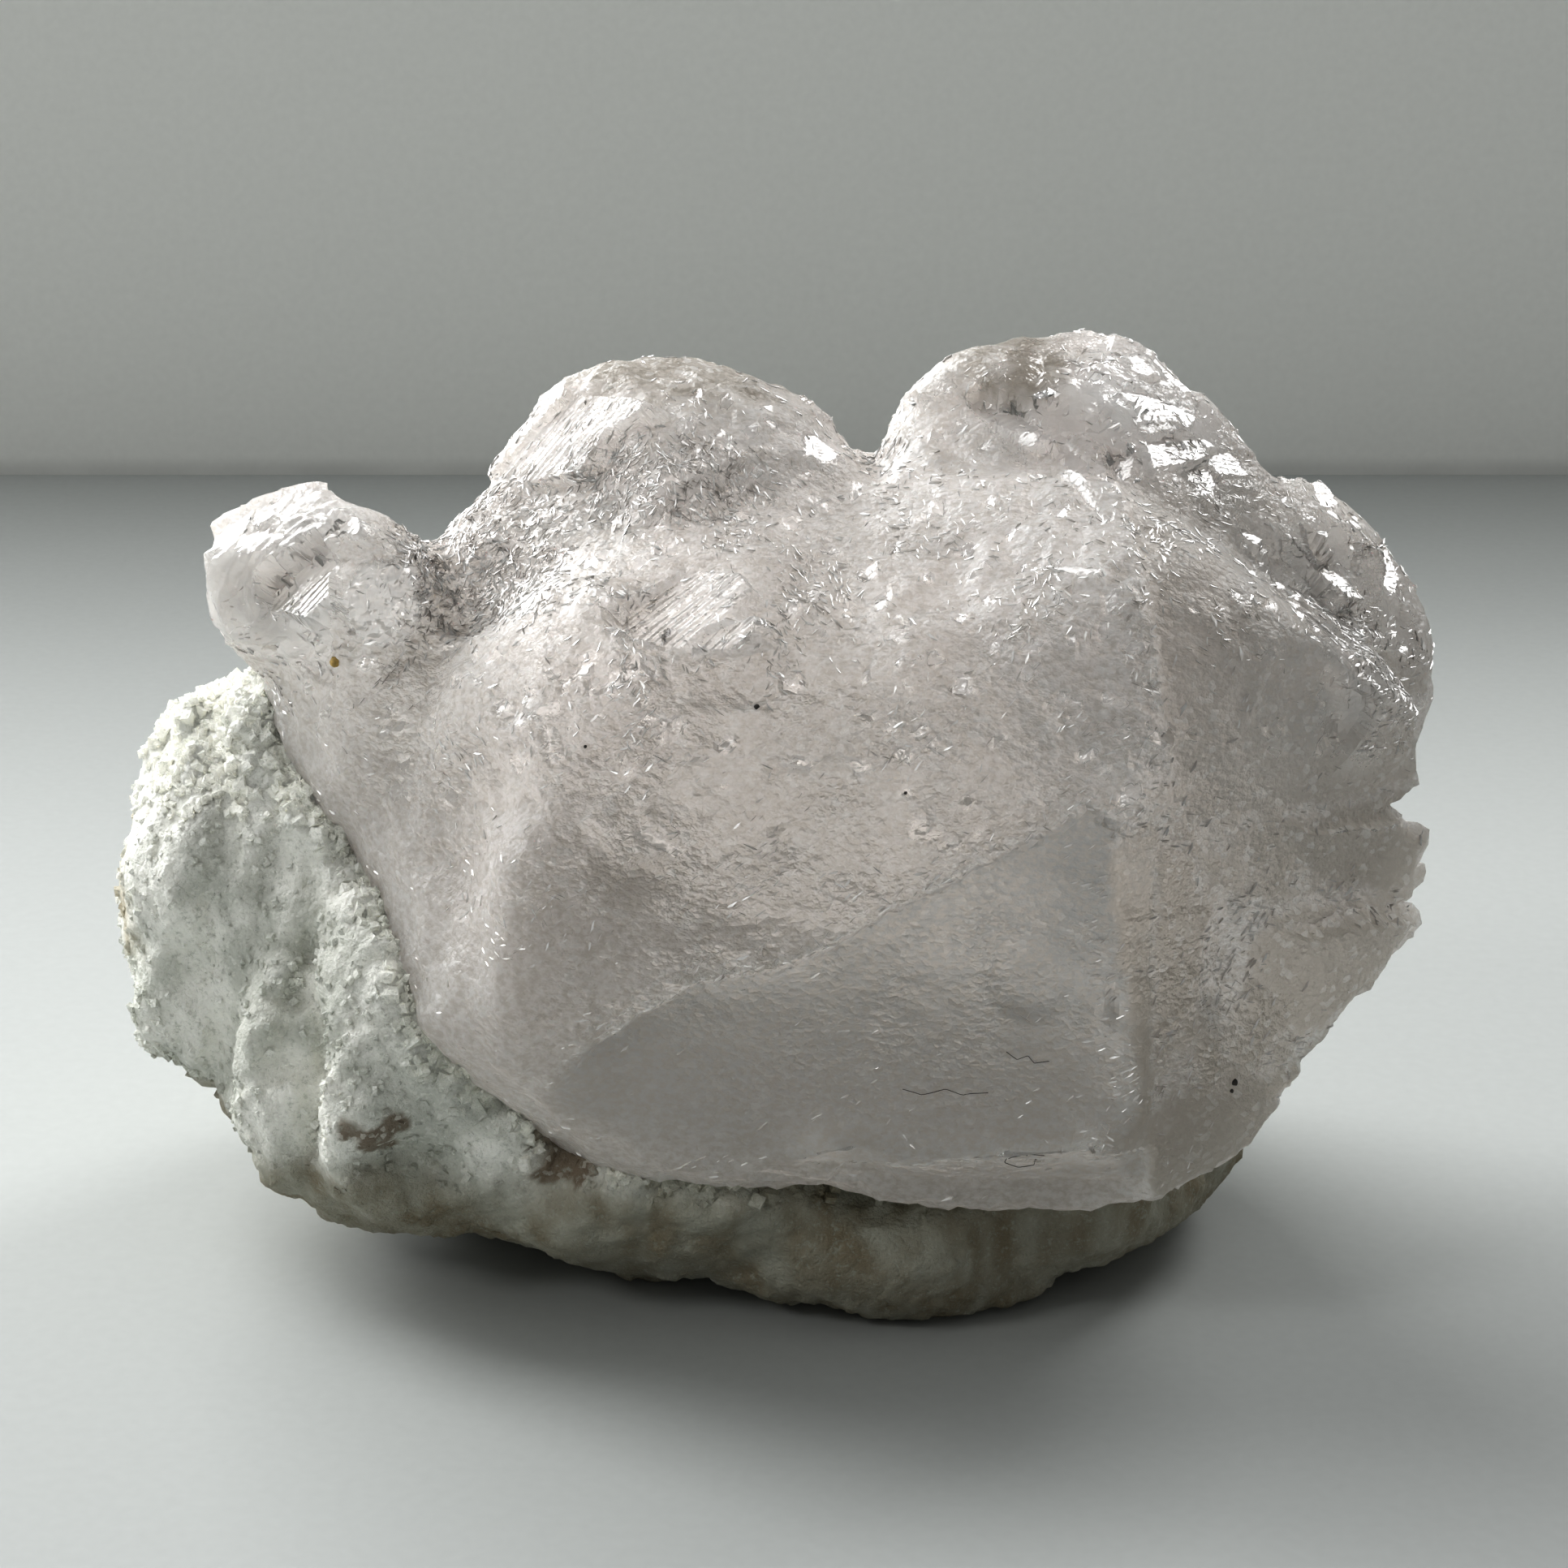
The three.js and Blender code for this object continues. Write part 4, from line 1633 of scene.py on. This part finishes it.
        # Painted light and shade: this mask darkens the cloudy inside and thins the milk high up and towards
        # the right, and leaves them pale low down and on the left, where the light comes in.
        masks["high"] = smoothstep(9, 32, z + 0.15 * x)
        far = smoothstep(2, 7, self.past_edge(points))
        lower = 0.56 + 0.4 * smoothstep(30, 24, z)
        masks["flank"] = self.flank(points) * lower * smoothstep(42, 39, z) * (1 - 0.45 * far)
        # Painted reflection: the foil facet's wrinkles are painted milky white, as if they caught the light
        # inside, and kept out of the clear places.
        foil = smoothstep(0.3, 0.15, np.abs(smooth_noise(points, 0.9, Draw.STRIAE)))
        painted_foil_reflection = masks.pop("foil") * foil
        streaks = smooth_noise(points @ SLOPE, 1.2, Draw.CRUMBS)
        masks["deep"] = cover(self.glass, points) * (0.6 + 0.7 * streaks) * (1 - painted_foil_reflection)
        blots = smooth_noise(points, 1.5, Draw.GRAINS) + 0.4 * smooth_noise(points, 0.7, Draw.GRAINS)
        blots = smoothstep(0.25, 0.55, blots)
        haze = 0.3 * smooth_noise(points, 5.0, Draw.STRIAE)
        # Painted highlights: the bright patches and the pale lines along the plate's rim, its lip and the
        # flank's edge are painted milky white; high up the milk thins as painted shade.
        milk = 0.30 + haze + 0.6 * blots * smoothstep(27, 31, z) + 0.6 * painted_gleam
        masks["milk"] = milk * (1 - 0.4 * masks["high"]) + 0.8 * crest + painted_foil_reflection
        masks["warm"] = 0.5 + 0.4 * smooth_noise(points, 10.0, Draw.GRAINS) + 0.2 * smoothstep(30, 15, z)


@dataclass
class Flakes:
    """Small slivers of cleavage that stand a hair proud of the crystal and glint, by their gloss and by
    their painted near-white colour.

    Attributes:
        count: how many are scattered.
        length: their least and greatest half length, in millimetres.
        slender: how wide they are, as shares of their length.
        root: how deep they reach into the crystal, in millimetres.
        upright: the way that their long side leans.
        finish: what they are made of.
    """

    count: int = 13000
    length: tuple[float, float] = (0.07, 0.40)
    slender: tuple[float, float] = (0.11, 0.30)
    root: float = 0.34
    upright: Vec = (0.5, 0.0, 0.85)
    finish: FlakeFinish = FlakeFinish()

    def build(self, crystal: Crystal) -> Object:
        """Makes the flakes.

        Args:
            crystal: the finished crystal, which they grow from.

        Returns:
            The piece.
        """
        draw = np.random.default_rng(Draw.FLAKES.value)
        at, normals = self.scatter(crystal, draw)
        sway = 0.3 * draw.normal(size=(len(at), len(CLEAVAGE)))
        way = CLEAVAGE[(normals @ CLEAVAGE.T + sway).argmax(axis=1)]
        facing = unit(way + 0.1 * draw.normal(size=at.shape))
        kept = dot(normals, facing) > 0.35
        at, normals, facing = at[kept], normals[kept], facing[kept]
        along = unit(np.cross(normals, facing) + 0.12 * np.array(self.upright))
        along = unit(along - dot(along, facing)[:, None] * facing)
        across = np.cross(facing, along)
        half = draw.uniform(*self.length, len(at)) * draw.uniform(0.6, 1.0, len(at))
        wide = half * draw.uniform(*self.slender, len(at))
        skew = draw.uniform(-0.7, 0.7, (2, len(at)))
        proud = 0.03 + 0.25 * wide * np.linalg.norm(np.cross(normals, facing), axis=1)
        lift = at + proud[:, None] * normals
        spread = ((half, 0 * wide), (half * skew[0], wide), (-half, 0 * wide), (half * skew[1], -0.7 * wide))
        rim = [lift + a[:, None] * along + b[:, None] * across for a, b in spread]
        points = np.stack([*rim, at - self.root * normals], axis=1).reshape(-1, 3)
        start = 5 * np.arange(len(at))[:, None]
        sides = (np.arange(4), *(np.array([(k + 1) % 4, k, 4]) for k in range(4)))
        faces = [face for side in sides for face in (start + side).tolist()]
        made = add_object("kunzite_flakes", points, faces, self.finish.material())
        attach(made, "root")
        return made

    def scatter(self, crystal: Crystal, draw: np.random.Generator) -> tuple[np.ndarray, np.ndarray]:
        """Picks places on the crystal, closest together where it is most broken.

        Args:
            crystal: the finished crystal.
            draw: the random numbers.

        Returns:
            The places and the way that the skin faces there.
        """
        skin = crystal.skin
        z = skin.points[:, 2]
        dull, calm, deep = (np.clip(skin.masks[name], 0, 1) for name in ("dull", "calm", "deep"))
        crowd = smoothstep(0.1, 0.6, smooth_noise(skin.points, 4.0, Draw.FLAKES))
        knob, drips = crystal.knob.weight(skin.points), cover(crystal.dripping, skin.points)
        density = (0.12 + crowd + 2.2 * drips) * (1 - 0.9 * dull)
        high = 0.26 + 0.74 * smoothstep(25, 35, z)
        density *= (1 - 0.88 * calm) * (1 - 0.8 * deep) * (1 - 0.9 * knob) * high
        lower = smoothstep(14, 18, z) * (1 - calm)
        density = np.maximum(density, 0) + 0.9 * crystal.crest(skin.points) + 0.16 * crowd * lower
        corners = skin.faces[skin.pick(draw, density, self.count)]
        share = draw.dirichlet((1, 1, 1), self.count)
        both = (skin.points, skin.normals())
        at, way = (np.einsum("ij,ijk->ik", share, values[corners]) for values in both)
        return at, unit(way)


@dataclass
class Grit:
    """Dirt on the crystal: dark specks, a yellow grain and fine threads of lint.

    Attributes:
        dark, yellow: what the specks and the threads, and the grain, are made of.
        specks: about where each dark speck lies, and its radius.
        grain: the same for the yellow grain.
        lint: the x and z of the places that each thread passes.
        thread: how thick the threads are, as a radius in millimetres.
        sides: how many sides a thread has.
        finer: how many places a thread has for each one that is given.
    """

    dark: GritFinish = GritFinish("Dark grit", (0.06, 0.055, 0.05))
    yellow: GritFinish = GritFinish("Yellow grain", (0.50, 0.36, 0.14))
    specks: tuple[tuple[Vec, float], ...] = (
        ((-0.76, -16.2, 33.42), 0.13),
        ((-0.62, -16.2, 33.60), 0.10),
        ((22.11, -14.2, 13.49), 0.17),
        ((22.05, -14.2, 13.10), 0.10),
        ((-8.3, -15.0, 31.0), 0.08),
        ((6.4, -16.9, 29.2), 0.08),
    )
    grain: tuple[Vec, float] = ((-20.7, -7.29, 32.18), 0.24)
    lint: tuple[tuple[tuple[float, float], ...], ...] = (
        (
            (12.7, 11.7), (11.9, 11.75), (11.1, 11.5), (10.9, 10.9),
            (11.6, 10.55), (12.3, 10.75), (12.35, 11.4),
        ),
        ((10.9, 16.5), (11.4, 16.1), (11.9, 16.3), (12.2, 15.9), (12.9, 16.0)),
        ((6.1, 14.5), (7.0, 14.2), (8.1, 14.5), (8.9, 14.2), (10.1, 14.3)),
    )
    thread: float = 0.017
    sides: int = 5
    finer: int = 6

    def build(self, crystal: Crystal) -> list[Object]:
        """Makes the specks, the grain and the threads.

        Args:
            crystal: the finished crystal, which they lie on.

        Returns:
            The pieces.
        """
        skin, normals = crystal.skin, crystal.skin.normals()
        front = np.flatnonzero(skin.points[:, 1] < crystal.front_at)
        specks = [self.lump(skin, normals, *speck) for speck in self.specks]
        threads = [self.strand(skin.points[front], normals[front], np.array(path)) for path in self.lint]
        return [
            self.piece("dark_grit", specks + threads, self.dark),
            self.piece("yellow_grain", [self.lump(skin, normals, *self.grain)], self.yellow),
        ]

    def lump(self, skin: Skin, normals: np.ndarray, at: Vec, size: float) -> Shape:
        """Shapes one uneven grain, half sunk in the skin.

        Args:
            skin: the crystal's skin.
            normals: the way that the skin faces.
            at: about where the grain lies.
            size: its radius.

        Returns:
            Its points and its faces.
        """
        near = np.linalg.norm(skin.points - np.array(at), axis=1).argmin()
        ball = bmesh.new()
        bmesh.ops.create_icosphere(ball, subdivisions=2, radius=1.0)
        round_points = np.array([vertex.co[:] for vertex in ball.verts])
        faces = [[vertex.index for vertex in face.verts] for face in ball.faces]
        ball.free()
        uneven = 1 + 0.35 * smooth_noise(round_points + np.array(at), 0.9, Draw.GRAINS)
        return skin.points[near] + 0.3 * size * normals[near] + size * uneven[:, None] * round_points, faces

    def strand(self, points: np.ndarray, normals: np.ndarray, path: np.ndarray) -> Shape:
        """Lays one thread along the skin's front.

        Args:
            points: the points of the skin's front.
            normals: the way that the skin faces there.
            path: the x and z of the places that it passes.

        Returns:
            Its points and its faces.
        """
        steps = np.linspace(0, len(path) - 1, self.finer * len(path))
        x, z = (np.interp(steps, range(len(path)), path[:, k]) for k in range(2))
        line = []
        for place in zip(x, z):
            near = np.hypot(points[:, 0] - place[0], points[:, 2] - place[1]).argmin()
            rest, way = points[near], normals[near]
            drop = (way[0] * (place[0] - rest[0]) + way[2] * (place[1] - rest[2]) - self.thread) / way[1]
            line.append((place[0], rest[1] - drop, place[1]))
        centre = np.array(line)
        ahead = unit(np.gradient(centre, axis=0))
        up = unit(np.cross(ahead, np.array([0.0, 1.0, 0.0])))
        over = np.cross(ahead, up)
        turns = 2 * math.pi * np.arange(self.sides)[:, None] / self.sides
        tube = centre[:, None] + self.thread * (np.cos(turns) * up[:, None] + np.sin(turns) * over[:, None])
        here = np.arange(len(centre) - 1)[:, None] * self.sides + np.arange(self.sides)
        there = np.roll(here, -1, axis=1)
        rings = [here, there, there + self.sides, here + self.sides]
        faces = np.stack(rings, axis=2).reshape(-1, 4).tolist()
        ends = [here[0, ::-1].tolist(), (here[-1] + self.sides).tolist()]
        return tube.reshape(-1, 3), faces + ends

    def piece(self, name: str, parts: list[Shape], finish: GritFinish) -> Object:
        """Joins some parts into one piece.

        Args:
            name: the piece's name.
            parts: each part's points and faces.
            finish: what it is made of.

        Returns:
            The piece.
        """
        faces, start = [], 0
        for points, sides in parts:
            faces += [[start + corner for corner in side] for side in sides]
            start += len(points)
        made = add_object(name, np.concatenate([points for points, _ in parts]), faces, finish.material())
        made.data.shade_smooth()
        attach(made, "root")
        return made


@dataclass
class Matrix:
    """The feldspar that the crystal grew on.

    Attributes:
        voxel: the width of the skin's faces, in millimetres.
        grow: how far the feldspar grows out over its solid.
        rib: how high the ribs of the slab at the left stand.
        rib_gap: the distance from rib to rib.
        crumbs, blades: the bumps all over it and the facets that it is broken into.
        sharp: the angle above which an edge is drawn crisp, in degrees.
        touch: how close the crystal lies where the feldspar creeps up to it.
        contact: how close it lies where the sugar is thickest, on its far and its near side.
        grains: how many grains of sugar there are.
        grain: their least and greatest half width, in millimetres.
        lowest: the least height of a grain above the floor.
        finish: what it is made of.
        pits: the brown pits.
        near, gap: the nearest place on the crystal to each point of the skin, and how far off it is.
    """

    voxel: float = 0.275
    grow: float = 0.32
    rib: float = 0.24
    rib_gap: float = 2.9
    crumbs: tuple[Bumps, ...] = (Bumps(0.4, 4.0, Draw.CRUMBS), Bumps(0.16, 1.7, Draw.CRUMBS))
    blades: Splinters = Splinters((1.9, 1.9, 2.6), 18.0, Draw.GRAINS)
    sharp: float = 40.0
    touch: Ease = Ease(2.7, 1.0)
    contact: tuple[Ease, Ease] = (Ease(0.5, 0.8), Ease(2.2, 1.2))
    grains: int = 12500
    grain: tuple[float, float] = (0.07, 0.21)
    lowest: float = 0.3
    finish: FeldsparFinish = FeldsparFinish()
    pits: tuple[Patch, ...] = (
        Patch((-19.0, -14.0, 11.0), (2.2, 3.0, 2.0)),
        Patch((-10.2, -13.9, 9.8), (2.3, 3.0, 2.8)),
    )
    near: np.ndarray = field(init=False, repr=False)
    gap: np.ndarray = field(init=False, repr=False)

    def build(self, grains: NodeTree, crystal: Crystal) -> list[Object]:
        """Makes the matrix.

        Args:
            grains: the small-grains group.
            crystal: the finished crystal.

        Returns:
            The pieces.
        """
        skin = Skin(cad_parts["matrix"], self.voxel)
        LOG.info("matrix skin: %d points, %d faces", len(skin.points), len(skin.faces))
        skin.smooth(3)
        self.carve(skin, crystal.skin)
        self.mark(skin)
        made = skin.piece("feldspar_matrix", self.sharp, self.finish.material(grains))
        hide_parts("matrix")
        return [made, self.sugar(skin, made.data.materials[0])]

    def sugar(self, skin: Skin, material: Material) -> Object:
        """Scatters small blocky grains over the matrix, thickest along the crystal and on the crest.

        Args:
            skin: the matrix's worked skin.
            material: what the matrix is made of.

        Returns:
            The piece.
        """
        draw, count = np.random.default_rng(Draw.SUGAR.value), self.grains
        x, _, z = skin.points.T
        rim = self.contact[0](self.gap) * self.contact[1](self.gap)
        crowd = smoothstep(0.0, 0.6, smooth_noise(skin.points, 3.0, Draw.SUGAR))
        crest = smoothstep(22, 25, z) * smoothstep(-17, -19, x)
        clean = 1 - skin.masks["pits"]
        density = (5.0 * rim + 0.8 * crowd + 1.2 * crest + 0.3) * smoothstep(6, 9, z) * clean
        chosen = skin.faces[skin.pick(draw, density, count), 0]
        reach = (rim[chosen] * draw.uniform(0.0, 1.4, count))[:, None]
        at = skin.points[chosen] + reach * (self.near[chosen] - skin.points[chosen])
        larger = 1 + np.maximum(0.5 * crest[chosen], 0.7 * rim[chosen])
        size = draw.uniform(*self.grain, (count, 1)) * larger[:, None]
        axes, _ = np.linalg.qr(draw.normal(size=(count, 3, 3)))
        cube = np.array([(i, j, k) for i in (-1, 1) for j in (-1, 1) for k in (-1, 1)], dtype=float)
        blocks = cube[None] * draw.uniform(0.55, 1.1, (count, 1, 3))
        blocks = blocks + draw.uniform(-0.25, 0.25, (count, 8, 3))
        points = at[:, None] + size[:, None] * np.einsum("nij,nkj->nki", axes, blocks)
        points[..., 2] = np.maximum(points[..., 2], self.lowest)
        turned = np.linalg.det(axes) < 0
        sides = ((0, 1, 3, 2), (4, 6, 7, 5), (0, 4, 5, 1), (2, 3, 7, 6), (0, 2, 6, 4), (1, 5, 7, 3))
        sides = np.array(sides)
        faces = 8 * np.arange(count)[:, None, None] + np.where(turned[:, None, None], sides[:, ::-1], sides)
        masks = {label: np.repeat(values[chosen], 8) for label, values in skin.masks.items()}
        corners = faces.reshape(-1, 4).tolist()
        made = add_object("feldspar_sugar", points.reshape(-1, 3), corners, material, masks)
        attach(made, "root")
        return made

    def nearest(self, crystal: Skin, points: np.ndarray) -> np.ndarray:
        """The place on the crystal's skin that lies nearest to each point.

        Args:
            crystal: the crystal's skin.
            points: places in millimetres.

        Returns:
            The nearest place for each point.
        """
        tree = KDTree(len(crystal.points))
        for index, place in enumerate(crystal.points):
            tree.insert(place, index)
        tree.balance()
        return np.array([tree.find(place)[0][:] for place in points])

    def carve(self, skin: Skin, crystal: Skin) -> None:
        """Gives the skin its ribs, crumbs and sugary burr, and keeps the seat flat.

        Args:
            skin: the matrix's skin.
            crystal: the crystal's skin, which the feldspar creeps up to.
        """
        x, y, z = skin.points.T
        seat = smoothstep(0.8, 0.1, z)
        free = 1 - seat
        slab = smoothstep(-19, -23, x) * smoothstep(4, 0, y)
        lean = x + 0.3 * np.maximum(22 - z, 0) + 0.7 * smooth_noise(skin.points, 5.0, Draw.RIBS)
        skin.push((self.grow + self.rib * slab * np.sin(lean * 2 * math.pi / self.rib_gap)) * free)
        skin.push(sum(bumps.rise(skin.points) for bumps in self.crumbs) * free)
        skin.cleave(self.blades, 0.25 * free)
        self.near = self.nearest(crystal, skin.points)
        self.gap = np.linalg.norm(self.near - skin.points, axis=1)
        creep = 0.75 + 0.45 * smooth_noise(skin.points, 1.6, Draw.BURR)
        skin.push(self.touch(self.gap) * creep * free)
        crest = smoothstep(23, 26, z) * smoothstep(-18, -20, x)
        coarse, fine = (np.abs(smooth_noise(skin.points, wave, Draw.BURR)) for wave in (1.1, 0.6))
        skin.push((0.26 + 0.45 * crest) * (coarse + 0.5 * fine - 0.25) * free)
        z[:] = np.where(seat > 0.99, 0, np.maximum(z, 0))

    def mark(self, skin: Skin) -> None:
        """Works out where the matrix is weathered, stained and brown.

        Args:
            skin: the matrix's worked skin, which takes the masks.
        """
        points, masks = skin.points, skin.masks
        x, _, z = points.T
        uneven = 2.0 * smooth_noise(points, 5.0, Draw.GRAINS)
        masks["low"] = smoothstep(9.5, 6.5, z + uneven)
        banded = 0.9 * smooth_noise(points * np.array((1.0, 1.0, 0.3)), 1.1, Draw.STRIAE)
        masks["streak"] = 0.45 + banded + 0.5 * smooth_noise(points, 3.0, Draw.RIBS)
        tall = smoothstep(22.5, 20, z + uneven) * smoothstep(14, 16.5, z + uneven)
        masks["stain"] = 0.7 * smoothstep(-30.6, -33.2, x + 0.4 * uneven) * tall
        pits = cover(self.pits, points)
        ragged = smoothstep(-0.2, 0.15, smooth_noise(points, 1.3, Draw.RIBS) + 1.2 * pits - 0.8)
        masks["pits"] = 0.9 * ragged * smoothstep(0, 0.3, pits)
        broad = smooth_noise(points, 4.0, Draw.STRIAE) + 0.5 * smooth_noise(points, 1.6, Draw.STRIAE)
        clean = 1 - 0.9 * smoothstep(20, 24, z)
        masks["cloud"] = smoothstep(-0.25, 0.55, broad + 0.3 * smoothstep(24, 14, z)) * clean
        masks["hollow"] = smoothstep(0.1, -0.5, smooth_noise(points, 2.6, Draw.CRUMBS))


# ---------------------------------------------------------------- the studio


def hang(name: str, data: bpy.types.Light | bpy.types.Camera, at: Vector, looking: Vector) -> Object:
    """Puts a light or a camera into the scene.

    Args:
        name: its name.
        data: what it is.
        at: where it hangs, in metres.
        looking: the way that it looks.

    Returns:
        The new object.
    """
    made = bpy.data.objects.new(name, data)
    made.location = at
    made.rotation_mode = "QUATERNION"
    made.rotation_quaternion = looking.to_track_quat("-Z", "Y")
    bpy.context.scene.collection.objects.link(made)
    return made


@dataclass(frozen=True)
class Softbox:
    """A square of soft light.

    Attributes:
        name: the light's name.
        at: its middle, in millimetres.
        size: its width and height, in millimetres.
        power: its power, in watts.
    """

    name: str
    at: Vec
    size: tuple[float, float]
    power: float

    def build(self, aim: Vector) -> None:
        """Hangs the light, turned towards a point.

        Args:
            aim: the point, in metres.
        """
        light = bpy.data.lights.new(self.name, "AREA")
        light.shape = "RECTANGLE"
        light.size, light.size_y = (side * MM for side in self.size)
        light.energy = self.power
        at = Vector(self.at) * MM
        hang(self.name, light, at, aim - at)


@dataclass
class Studio:
    """A pale table top against a grey wall, under soft daylight.

    Attributes:
        target: the point that the camera and the lights are turned to, in millimetres.
        distance, pitch: how far off the camera stands, and how far down it looks, in degrees.
        lens, sensor: the camera's lens and the width of its sensor.
        nearest: how close to the camera a thing may be and still be seen, in millimetres.
        wall_at, wall_height: the wall's y and its height.
        wide, deep: how far the table reaches, from side to side and towards the camera.
        room: how strong the light from all round is.
        floor, wall: the finishes of the table and the wall.
        lights: the lights.
    """

    target: Vec = (0.56, -1.49, 24.0)
    distance: float = 190.0
    pitch: float = 20.0
    lens: float = 87.8
    sensor: float = 36.0
    nearest: float = 10.0
    wall_at: float = 143.5
    wall_height: float = 66.0
    wide: float = 1400.0
    deep: float = 900.0
    room: float = 0.21
    floor: PaperFinish = PaperFinish("Pale table top", (0.52, 0.54, 0.53))
    wall: PaperFinish = PaperFinish("Grey wall", (0.89, 0.90, 0.87), True, (1.9, 0.3))
    lights: tuple[Softbox, ...] = (
        Softbox("window_low", (-560.0, 600.0, 390.0), (800.0, 420.0), 8.4),
        Softbox("window_high", (-505.0, 279.0, 713.0), (420.0, 420.0), 2.8),
        Softbox("window_right", (469.0, 556.0, 553.0), (320.0, 320.0), 2.2),
        Softbox("lamp", (-496.0, -288.0, 425.0), (140.0, 140.0), 0.5),
    )

    def build(self) -> None:
        """Sets up the surfaces, the lights and the camera."""
        left, right, back, top = -self.wide / 2, self.wide / 2, self.wall_at, self.wall_height
        table = ((left, -self.deep, 0), (right, -self.deep, 0), (right, back, 0), (left, back, 0))
        wall = ((left, back, 0), (right, back, 0), (right, back, top), (left, back, top))
        for name, corners, finish in (("table_top", table, self.floor), ("wall", wall, self.wall)):
            add_object(name, np.array(corners, dtype=float), [[0, 1, 2, 3]], finish.material())
        aim = Vector(self.target) * MM
        for light in self.lights:
            light.build(aim)
        world = bpy.data.worlds.new("soft room")
        bpy.context.scene.world = world
        world.use_nodes = True
        glow = world.node_tree.nodes["Background"]
        Nodes(world.node_tree).feed(glow, Color=(1.0, 1.0, 1.0), Strength=self.room)
        self.camera(aim)
        bpy.context.scene.view_settings.view_transform = "Standard"
        bpy.context.scene.view_settings.look = "High Contrast"

    def camera(self, aim: Vector) -> None:
        """Places the camera, a little above the specimen and square to it.

        Args:
            aim: the point that it looks at, in metres.
        """
        data = bpy.data.cameras.new("camera")
        data.lens, data.sensor_width, data.clip_start = self.lens, self.sensor, self.nearest * MM
        tilt = math.radians(self.pitch)
        back = Vector((0.0, -math.cos(tilt), math.sin(tilt)))
        bpy.context.scene.camera = hang("camera", data, aim + back * self.distance * MM, -back)


def main() -> None:
    """Builds the specimen and its studio, and writes how big it is."""
    logging.basicConfig(level=logging.INFO, format="%(name)s: %(message)s")
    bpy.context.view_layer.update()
    Studio().build()
    grains = grain_group()
    crystal = Crystal()
    body = crystal.build(grains)
    for made in (body, Flakes().build(crystal), *Grit().build(crystal), *Matrix().build(grains, crystal)):
        LOG.info("built %s with %d faces", made.name, len(made.data.polygons))


if __name__ == "__main__":
    main()
